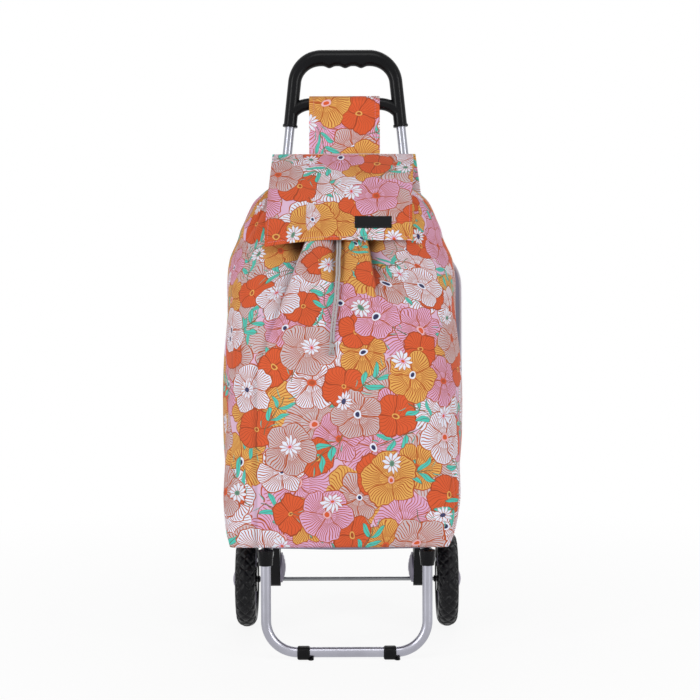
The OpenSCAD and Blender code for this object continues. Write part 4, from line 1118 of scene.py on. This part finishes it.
# %% Yoke
PIPING_D = 5
PANEL_TOP, PANEL_LOW, PANEL_R, PANEL_HALF, PANEL_T = 562, 99.3, 62, 188, 3
YOKE_LOW_HALF, YOKE_TOP_HALF, YOKE_CUT_X = 140, 119, 2200
panel_y = -TUBE_R - CLOTH_GAP - PIPING_D / 2
yoke_z = np.linspace(PANEL_TOP + PIPING_D + CLOTH_GAP, strap_low - CLOTH_GAP, 40)[:, None]
yoke_up = yoke_z - yoke_z[0]
yoke_half = YOKE_LOW_HALF + (YOKE_TOP_HALF - YOKE_LOW_HALF) * yoke_up / yoke_up[-1]
yoke_share = np.linspace(-1, 1, 60)[None]
yoke_wave = 0.5 * np.sin(yoke_share * 5 + yoke_z / 26)
yoke_grid = lean_back(yoke_share * yoke_half, panel_y + yoke_wave, yoke_z)
yoke_cloth = together(YOKE_CUT_X + yoke_share * YOKE_LOW_HALF, yoke_z)
yoke = grid_mesh("yoke_canvas", yoke_grid, cloths=[yoke_cloth])
thicken(yoke, 2.2, edge=0.8)
finish_piece(yoke, "frame", "print_fabric", printed_canvas, replaced=["back_yoke"])
yoke_lines = [(0.04, (0.02, 0.98)), (0.96, (0.02, 0.98)), ((0.04, 0.96), 0.02), ((0.04, 0.96), 0.98)]
sew("yoke_stitching", yoke_grid, yoke_lines, lift=-1.2)

# %% [markdown]
# ## The back panel and its piping
# A stiff panel of grey canvas backs the bag, so that it hangs flat against the tubes. A piped seam runs
# round its edge: a cord inside a folded strip of cloth.

# %% Back panel
PANEL_SHIFT, PIPE_OUT = 5.5, 0.5
bend_z = PANEL_TOP - PANEL_R
corner = np.sin(np.linspace(0, math.pi / 2, 26))[1:]
panel_z = np.concatenate([np.linspace(PANEL_LOW, bend_z, 60), bend_z + PANEL_R * corner])
over_corner = np.clip(panel_z - bend_z, 0, PANEL_R)


def panel_taper(z):
    """How much narrower the panel's half is at a height in its plane."""
    return 32 * (1 - rise(z, PANEL_LOW, 190))


panel_half = PANEL_HALF - PANEL_R + np.sqrt(PANEL_R**2 - over_corner**2) - panel_taper(panel_z)
share = np.linspace(-1, 1, 80)[None]
pillow = 0.7 * np.sin(share * 3 + panel_z[:, None] / 60) * (1 - share**2)
panel_x = share * panel_half[:, None]
panel_grid = lean_back(PANEL_SHIFT + panel_x, panel_y + 0.25 * pillow, panel_z[:, None])
panel = grid_mesh("back_panel_canvas", panel_grid, cloths=[together(panel_x, panel_z[:, None])])
thicken(panel, PANEL_T - 0.3, edge=0.6)
finish_piece(panel, "frame", "grey_fabric", grey_canvas, replaced=["back_panel"])
print("panel in mm:", 2 * PANEL_HALF, "by", round(np.ptp(panel_z)))

# %% Piping and stitches
pipe_x = PANEL_HALF + PIPE_OUT
side_run = [(pipe_x, z) for z in np.linspace(PANEL_LOW, bend_z, 60)]
for a in np.radians(np.linspace(0, 90, 19))[1:]:
    side_run.append((pipe_x - PANEL_R * (1 - math.cos(a)), bend_z + (PANEL_R + PIPE_OUT) * math.sin(a)))
side_run = [(x - panel_taper(z), z) for x, z in side_run]
outline = np.array(side_run + [(-x, z) for x, z in side_run[::-1]])
pipe_line = smooth_path(lean_back(outline[:, 0] + PANEL_SHIFT, panel_y, outline[:, 1]), 4)
piping = tube("panel_piping", pipe_line, PIPING_D / 2 - 0.1, PIPING_D)
finish_piece(piping, "frame", "grey_fabric", grey_tape)
panel_lines = [((0.02, 0.66), 0.03), ((0.02, 0.66), 0.97), (0.03, (0.03, 0.97))]
sew("panel_stitching", panel_grid, panel_lines, finish=grey_thread, lift=1.5)
print("piping in mm:", round(along(pipe_line)[-1]))

# %% [markdown]
# ## The loops on the cross brace
# Two short straps, sewn to the back panel above and below the brace, keep the bag on the frame.

# %% Brace loops
LOOP_T, LOOP_X, TAPE_HALF, TAB = 1.6, 58, 16, 17
brace_low, brace_high = box_mm("cross_brace")
brace_in_plane = ((brace_low + brace_high)[2] / 2 - axle_z) / math.cos(LEAN)
loop_r = TUBE_R + CLOTH_GAP + LOOP_T / 2
round_brace = np.radians(np.linspace(-90, 90, 25))
tab_y = panel_y + PANEL_T / 2 + LOOP_T / 2
loop_line = np.concatenate(
    [
        together(tab_y, np.linspace(-loop_r - TAB, -loop_r - 3, 8)),
        together(np.linspace(tab_y + 1.5, 0, 6)[:-1], -loop_r),
        together(loop_r * np.cos(round_brace), loop_r * np.sin(round_brace)),
        together(np.linspace(0, tab_y + 1.5, 6)[1:], loop_r),
        together(tab_y, np.linspace(loop_r + 3, loop_r + TAB, 8)),
    ]
)
loop_far = along(loop_line)[:, None]
tape = np.linspace(-TAPE_HALF, TAPE_HALF, 15)[None]
loop_lines = [(row, (0.1, 0.9)) for row in (0.04, 0.1, 0.9, 0.96)]
short_stitches = {"count": 20, "lift": 0.9, "pitch": 3, "length": 2.2}
for side, name in ((-1, "left"), (1, "right")):
    loop_grid = lean_back(side * LOOP_X + tape, loop_line[:, :1], brace_in_plane + loop_line[:, 1:])
    loop = grid_mesh("brace_loop_" + name, loop_grid, cloths=[together(tape, loop_far)])
    thicken(loop, LOOP_T - 0.2, edge=0.4)
    finish_piece(loop, "frame", "grey_fabric", grey_tape, replaced=["brace_tabs"] if side < 0 else ())
    sew("brace_loop_stitching_" + name, loop_grid, loop_lines, finish=grey_thread, **short_stitches)

# %% [markdown]
# ## The base
# A stiffened pad of grey canvas closes the bag from below. It rests on the stand's arms, and its middle
# sags between them.

# %% Base
PAD_T, SAG, SAG_HALF = 5, 3.5, 112
# Share of the pad's half width, and height, ring by ring from its top to its underside.
PAD_RINGS = [(0.05, 0), (0.6, 0), (0.97, 0), (0.995, -0.8), (1, -2.5), (0.995, -4.2)]
PAD_RINGS += [(size, -PAD_T) for size in (0.97, 0.9, 0.75, 0.5, 0.25, 0.04)]
base_low, base_high = box_mm("bag_base")
pad_centre, pad_half = (base_low + base_high) / 2, (base_high - base_low) / 2
pad_top = bottom_z - CLOTH_GAP
pad_angle = all_round(120)
c, s = np.cos(pad_angle), np.sin(pad_angle)
round_pad = squarish(c, s, 7)
pad_rings = []
for size, height in PAD_RINGS:
    x, y = pad_half[0] * size * round_pad * c, pad_half[1] * size * round_pad * s
    sag = SAG * np.clip(1 - (x / SAG_HALF) ** 2, 0, 1) * ease((1 - abs(y) / pad_half[1]) * 9)
    z = pad_top + height - sag * (height == -PAD_T)
    pad_rings.append(together(pad_centre[0] + x, pad_centre[1] + y, z))
pad_rings = np.array(pad_rings)
pad_cloth = closed(pad_rings[..., :2])
base_pad = grid_mesh("base_pad", pad_rings, wrap=True, caps=True, cloths=[pad_cloth])
finish_piece(base_pad, "frame", "grey_fabric", grey_canvas, replaced=["bag_base"])
print("pad rings:", len(pad_rings))

# %% [markdown]
# ## The handle
# The handle is one moulding: a tube bent into an arch, thicker in the grip, with three ridges under it
# that part the fingers, and a lower bar that the strap hangs from. The CAD handle has the same form in
# flat facets, so it is drawn again with close rings.

# %% Handle
handle_h, leg_d, grip_t, grip_depth, bend_r, ridge_h = 132, 22.5, 28, 26, 46, 3.5
top_half, splay = 94.5, math.radians(6)
HANDLE_SIDES, BEND_RINGS, RIDGES = 40, 34, 3
grip_z = socket_h + handle_h - grip_t / 2
corner_z = grip_z - bend_r


def leg_x(z):
    """How far out the right leg's middle is at a height."""
    return top_half - (z - socket_h) * math.tan(splay)


corner_x = leg_x(corner_z) - bend_r / math.cos(splay)
finger_pitch = 2 * corner_x / RIDGES
leg_z = np.linspace(socket_h, corner_z + bend_r * math.sin(splay), 22)[:-1]
turn = np.linspace(splay, math.pi / 2, BEND_RINGS)
c, s = np.cos(turn), np.sin(turn)
# A place on the middle line, the way out from it, and the share of the change from leg to grip.
right_side = np.concatenate(
    [
        together(leg_x(leg_z), leg_z, math.cos(splay), math.sin(splay), 0),
        together(corner_x + bend_r * c, corner_z + bend_r * s, c, s, np.linspace(0, 1, BEND_RINGS)),
        together(np.linspace(corner_x, 0, 60)[1:], grip_z, 0, 1, 1),
    ]
)
handle_line = np.concatenate([right_side, right_side[-2::-1] * np.array([-1, 1, -1, 1, 1])])
section = all_round(HANDLE_SIDES)[None]
x, z, out_x, out_z, share = (handle_line[:, k : k + 1] for k in range(5))
on_grip = ease((corner_x + 4 - abs(x)) / 8) * (share == 1)
ridge = ridge_h * (0.5 + 0.5 * np.cos(2 * math.pi * x / finger_pitch)) ** 1.6 * on_grip
under = np.clip(-np.cos(section), 0, 1)
half_t = (leg_d + (grip_t - leg_d) * ease(share)) / 2 + ridge * under**0.6
half_deep = (leg_d + (grip_depth - leg_d) * ease(share)) / 2
reach = half_t * np.cos(section)
handle_grid = lean_back(x + out_x * reach, half_deep * np.sin(section), z + out_z * reach)
handle = grid_mesh("handle_moulding", handle_grid, wrap=True, caps=True)
finish_piece(handle, "frame", "black_plastic", black_moulding, replaced=["handle"])
print("grip", round(2 * corner_x), "mm wide")

# %% Arched bar and collars
arch_bend, arch_turn, arch_d = 45, math.radians(46), 21
ARCH_SIDES, COLLAR_SIDES = 32, 40
# Height on the collar and its radius there.
COLLAR_PROFILE = [(0.35, 9.2), (0, 9.6), (-0.1, 12.2), (0.3, 12.7), (3.4, 12.75), (4, 12.5), (4.3, 11.6)]
arch_flat = leg_x(arch_h) - arch_bend * math.sin(arch_turn)
bend = np.linspace(arch_turn, 0, 24)
arch_side = together(arch_flat + arch_bend * np.sin(bend), 0, arch_h - arch_bend * (1 - np.cos(bend)))
arch_path = np.concatenate([arch_side, arch_side[::-1] * np.array([-1, 1, 1])])
arch_far = along(arch_path)
flare = 1 + 0.09 * fade_out(arch_far, 9) + 0.09 * fade_out(arch_far[::-1], 9)
arch_rings = sweep(arch_path, (arch_d / 2 * flare)[:, None], ARCH_SIDES, side_on=(0, 1, 0))
arch = grid_mesh("handle_arch", lean_back(*np.moveaxis(arch_rings, -1, 0)), wrap=True, caps=True)
finish_piece(arch, "frame", "black_plastic", black_moulding)
c, s = np.cos(all_round(COLLAR_SIDES)), np.sin(all_round(COLLAR_SIDES))
up, r = np.array(COLLAR_PROFILE).T[..., None]
collar_x = top_half - up * math.sin(splay) + r * c * math.cos(splay)
collar_z = socket_h + up * math.cos(splay) + r * c * math.sin(splay)
for side, name in ((-1, "left"), (1, "right")):
    collar_grid = lean_back(side * collar_x, r * s, collar_z)
    collar = grid_mesh("handle_collar_" + name, collar_grid, wrap=True, caps=True)
    finish_piece(collar, "frame", "black_plastic", black_moulding)
print("arched bar in mm:", round(arch_far[-1]))

# %% [markdown]
# ## The tyres
# The tyres are foam, moulded in one piece with a round crown. Two sets of slanting grooves cross on it and
# leave rows of diamond blocks. The grooves are far too many to cut one by one, so each point of a close
# grid is pushed in by a rule that reads its place round the tyre and across it.

# %% Tyres
BLOCKS, TREAD_DEPTH, GROOVE = 24, 2.0, 0.22
TREAD_PITCH = 2 * math.pi * 80 / BLOCKS
CROWN, CROWN_POINTS = 16, 49
# How far inside the tyre's radius and its side each point of the sidewall lies.
SIDEWALL = np.array([(22, 2), (20.5, 0.7), (18.5, 0.1)])
for side, name in ((-1, "left"), (1, "right")):
    low, high = box_mm("tyre_" + name)
    tyre_x, tyre_r, tyre_half = (low + high)[0] / 2, (high - low)[2] / 2, (high - low)[0] / 2
    crown = np.radians(np.linspace(-90, 90, CROWN_POINTS))
    wall_r, wall_x = tyre_r - SIDEWALL[:, 0], tyre_half - SIDEWALL[:, 1]
    section = np.concatenate(
        [
            together(wall_r, -wall_x),
            together(tyre_r - CROWN + CROWN * np.cos(crown) ** 0.92, np.sin(crown) * tyre_half),
            together(wall_r, wall_x)[::-1],
            [(tyre_r - SIDEWALL[0, 0], 0)],
        ]
    )
    ahead = np.roll(section, -1, 0) - np.roll(section, 1, 0)
    ahead /= np.maximum(np.linalg.norm(ahead, axis=1, keepdims=True), 1e-9)
    on_crown = slice(len(SIDEWALL), len(SIDEWALL) + CROWN_POINTS)
    far = along(section)
    far -= np.interp(0, section[on_crown, 1], far[on_crown])
    round_it = all_round(360)[:, None]
    ways = [(round_it * tyre_r + tilt * far[None]) / TREAD_PITCH for tilt in (1, -1)]
    edge = np.minimum(*(abs(way % 1 - 0.5) for way in ways))
    groove = TREAD_DEPTH * (1 - ease(edge / GROOVE - 0.1)) * rise(section[:, 0] - tyre_r, 1 - CROWN, 5)
    radius = section[:, 0] - ahead[:, 1] * groove
    x = tyre_x + section[:, 1] + ahead[:, 0] * groove
    points = together(x, axle_y + radius * np.cos(round_it), axle_z + radius * np.sin(round_it))
    tyre = grid_mesh("tyre_tread_" + name, points, wrap=True, ring=True)
    finish_piece(tyre, "wheel_" + name, "tyre_foam", tyre_foam, replaced=["tyre_" + name])
print("tread blocks round a tyre:", BLOCKS)

# %% [markdown]
# ## Softened edges
# A moulded part never has a knife edge: the mould's corners are rounded by half a millimetre or more, and
# those edges catch the light. The CAD shapes are copied and their edges bevelled.

# %% Softened mouldings
SOFTENED = {"stand": ("stand_elbow_", 0.8), "frame": ("axle_bracket_", 1.6)}
for body, (kind, width) in SOFTENED.items():
    for name in (kind + "left", kind + "right"):
        shape = frame["nodes"][name].data.copy()
        work = bmesh.new()
        work.from_mesh(shape)
        bmesh.ops.remove_doubles(work, verts=work.verts, dist=0.02 * MM)
        bmesh.ops.dissolve_limit(work, angle_limit=math.radians(2), verts=work.verts, edges=work.edges)
        work.to_mesh(shape)
        work.free()
        softened = new_object(name + "_moulding", shape)
        round_edges(softened, width, 40)
        settle(softened).data.shade_smooth()
        finish_piece(softened, body, "black_plastic", black_moulding, replaced=[name])
        print(name, "has", len(softened.data.polygons), "faces")

# %% [markdown]
# ## The rubber feet
# Each foot is a soft sleeve on the stand's bottom bar, flat below and rounded everywhere else, with a
# small lug at one end.

# %% Rubber feet
LUG, LUG_IN, LUG_TOP, TOP_OVER = 6, 3, 3.4, 0.5
# Distance from an end, and how far the sleeve is inset there.
END_INSET = np.array([(0, 2.6), (0.3, 1.5), (1.1, 0.6), (2.6, 0)])
c, s = np.cos(all_round(48)), np.sin(all_round(48))
for name in ("rubber_foot_left", "rubber_foot_right"):
    low, high = box_mm(name)
    middle_y, half_y = (low[1] + high[1]) / 2, (high[1] - low[1]) / 2
    sleeve = low[0], high[0] - LUG, high[2] + TOP_OVER, 3.0
    lug = high[0] - LUG - LUG_IN, high[0], LUG_TOP, 4.0
    parts_of_foot = []
    for start, end, top, power in (sleeve, lug):
        foot_x = np.concatenate([start + END_INSET[:, 0], end - END_INSET[::-1, 0]])[:, None]
        inset = np.minimum(np.concatenate([END_INSET[:, 1:], END_INSET[::-1, 1:]]), top / 3)
        reach = squarish(c, s, power)
        y, z = middle_y + (half_y - inset) * reach * c, top / 2 + (top / 2 - inset) * reach * s
        parts_of_foot.append(together(foot_x, y, z))
    foot = grid_mesh(name + "_sleeve", parts_of_foot, wrap=True, caps=True)
    finish_piece(foot, "stand", "foot_rubber", foot_rubber, replaced=[name])
    print(name, "has", len(foot.data.polygons), "faces")

# %% [markdown]
# ## Materials for the rigid parts
# Every rigid CAD part keeps its shape and gets the finish of the real part.

# %% Rigid parts
FINISHES = {
    anodised: ["upright_left", "upright_right", "cross_brace"],
    stand_tube_painted_highlight: ["stand_arm_left", "stand_arm_right", "stand_leg_frame"],
    zinc_steel: ["handle_screws", "bracket_bolts", "pivot_pins", "axle", "axle_push_nuts", "stand_rivets"],
    black_moulding: [
        "brace_clip_left", "brace_clip_right", "axle_spacers",
        "hub_washer_left", "hub_washer_right", "stand_knuckle_left", "stand_knuckle_right",
    ],
    grey_moulding: [
        "bracket_cover_left", "bracket_cover_right", "hub_left", "hub_right", "hub_cap_left", "hub_cap_right",
    ],
}
for finish, names in FINISHES.items():
    for name in names:
        part = frame["nodes"][name]
        part.data.materials.clear()
        part.data.materials.append(finish)
print("finished parts:", sum(len(names) for names in FINISHES.values()))

# %% [markdown]
# ## The cloth as it was cut
# Each flat piece of cloth is named with the size of its cut, before it was sewn and hung.

# %% Cloth sizes
panel_area = 2 * MM * float(np.trapz(panel_half, panel_z)) * MM
loop_cut = np.ptp(tape), loop_far[-1, 0]
# A cloth, its cut in mm, how it is held, what it rests on, its area and the pieces sewn to it.
SHEETS = [
    ("bag_canvas", (girth, up_bag.max()), "gathered", "back_panel_canvas", None, []),
    (
        "flap_canvas", (FLAP_WIDE, flap_length), "hung", "bag_canvas", None,
        ["flap_stitching", "leatherette_patch", "patch_stitching"],
    ),
    ("strap_canvas", (np.ptp(strap_x), strap_far[-1, 0]), "folded", "handle_arch", None, ["strap_stitching"]),
    ("yoke_canvas", (2 * yoke_half.max(), np.ptp(yoke_z)), "hung", "strap_canvas", None, ["yoke_stitching"]),
    (
        "back_panel_canvas", (2 * PANEL_HALF, np.ptp(panel_z)), "hung", "yoke_canvas", panel_area,
        ["panel_piping", "panel_stitching"],
    ),
    ("brace_loop_left", loop_cut, "folded", "cross_brace", None, ["brace_loop_stitching_left"]),
    ("brace_loop_right", loop_cut, "folded", "cross_brace", None, ["brace_loop_stitching_right"]),
]
for name, (wide, long), held, support, area, sewn in SHEETS:
    print(name, "cut to", round(wide), "by", round(long), "mm")

# %% [markdown]
# ## The pieces in the stand's way
# When the stand folds up, it takes the place of the bag, and the real bag is pressed flat against the frame.
# Here each cloth piece in its way gets its own copy of its mesh.

# %% Pieces in the stand's way
in_the_way = [bag_piece, base_pad, knot, frayed, *(cord for cord, _, _ in cords)]
in_the_way += [flap_piece, flap_stitching, patch, patch_stitching]
for piece in in_the_way:
    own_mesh(piece)
print("pieces that flatten:", len(in_the_way))

# %% [markdown]
# ## Floor, light and background
# A pale floor holds the shadow, and large soft lamps light the trolley evenly from the front and above.

# %% Floor and background
FLOOR_R = 9


def seen(tree):
    """1 for rays that show a thing, straight or in a mirror, and 0 for those that only light others."""
    rays = add(tree, "LightPath").node.outputs
    mirrored = add(tree, "Math", [rays["Is Camera Ray"], rays["Is Glossy Ray"]], operation="MAXIMUM")
    return add(tree, "Math", [mirrored, rays["Is Transmission Ray"]], operation="MAXIMUM")


floor_material, tree, shader = new_material("pale_floor")
shown = seen(tree)
far = add(tree, "VectorMath", [add(tree, "TexCoord", out="Object")], out="Value", operation="LENGTH")
clean = add(tree, "MapRange", {"Value": far, "From Min": 0.3, "From Max": 1.3, "To Min": 0.9, "To Max": 1.0})
share = add(tree, "Math", [shown, clean], operation="MULTIPLY")
fill(tree, shader, {"Base Color": paint("#f4f4f4"), "Roughness": 0.9})
white = add(tree, "Emission", {"Color": paint("#ffffff"), "Strength": 1.0})
mixed = add(tree, "MixShader", [share, shader.outputs[0], white])
tree.links.new(mixed, tree.nodes["Material Output"].inputs["Surface"])
bpy.ops.mesh.primitive_circle_add(vertices=96, radius=FLOOR_R, fill_type="NGON")
floor = bpy.context.object
floor.name = "floor"
floor.data.materials.append(floor_material)

world = bpy.data.worlds.new("studio")
bpy.context.scene.world = world
world.use_nodes = True
tree = world.node_tree
shown = seen(tree)
soft = add(tree, "Background", {"Color": paint("#ffffff"), "Strength": 0.24})
bright = add(tree, "Background", {"Color": paint("#ffffff"), "Strength": 1.0})
mixed = add(tree, "MixShader", [shown, soft, bright])
tree.links.new(mixed, tree.nodes["World Output"].inputs["Surface"])
print("floor and background ready")

# %% Lamps
LIT_POINT = Vector((0, 0, 0.5))


def lamp(name, place, width, height, power):
    """A soft oblong lamp that faces the trolley."""
    light = bpy.data.lights.new(name, "AREA")
    light.shape = "RECTANGLE"
    light.size, light.size_y, light.energy = width, height, power
    item = new_object(name, light)
    item.location = place
    item.rotation_euler = (Vector(place) - LIT_POINT).to_track_quat("Z", "Y").to_euler()


lamp("left", (-2.1, -1.8, 1.0), 0.5, 2.0, 33)
lamp("right", (2.1, -1.8, 1.0), 0.5, 2.0, 29)
lamp("top", (0, -1.3, 2.6), 1.2, 0.8, 11)
lamp("back", (0.3, 2.2, 2.2), 1.6, 1.6, 20)
bpy.context.scene.view_settings.view_transform = "Standard"
print("lamps:", len(bpy.data.lights))
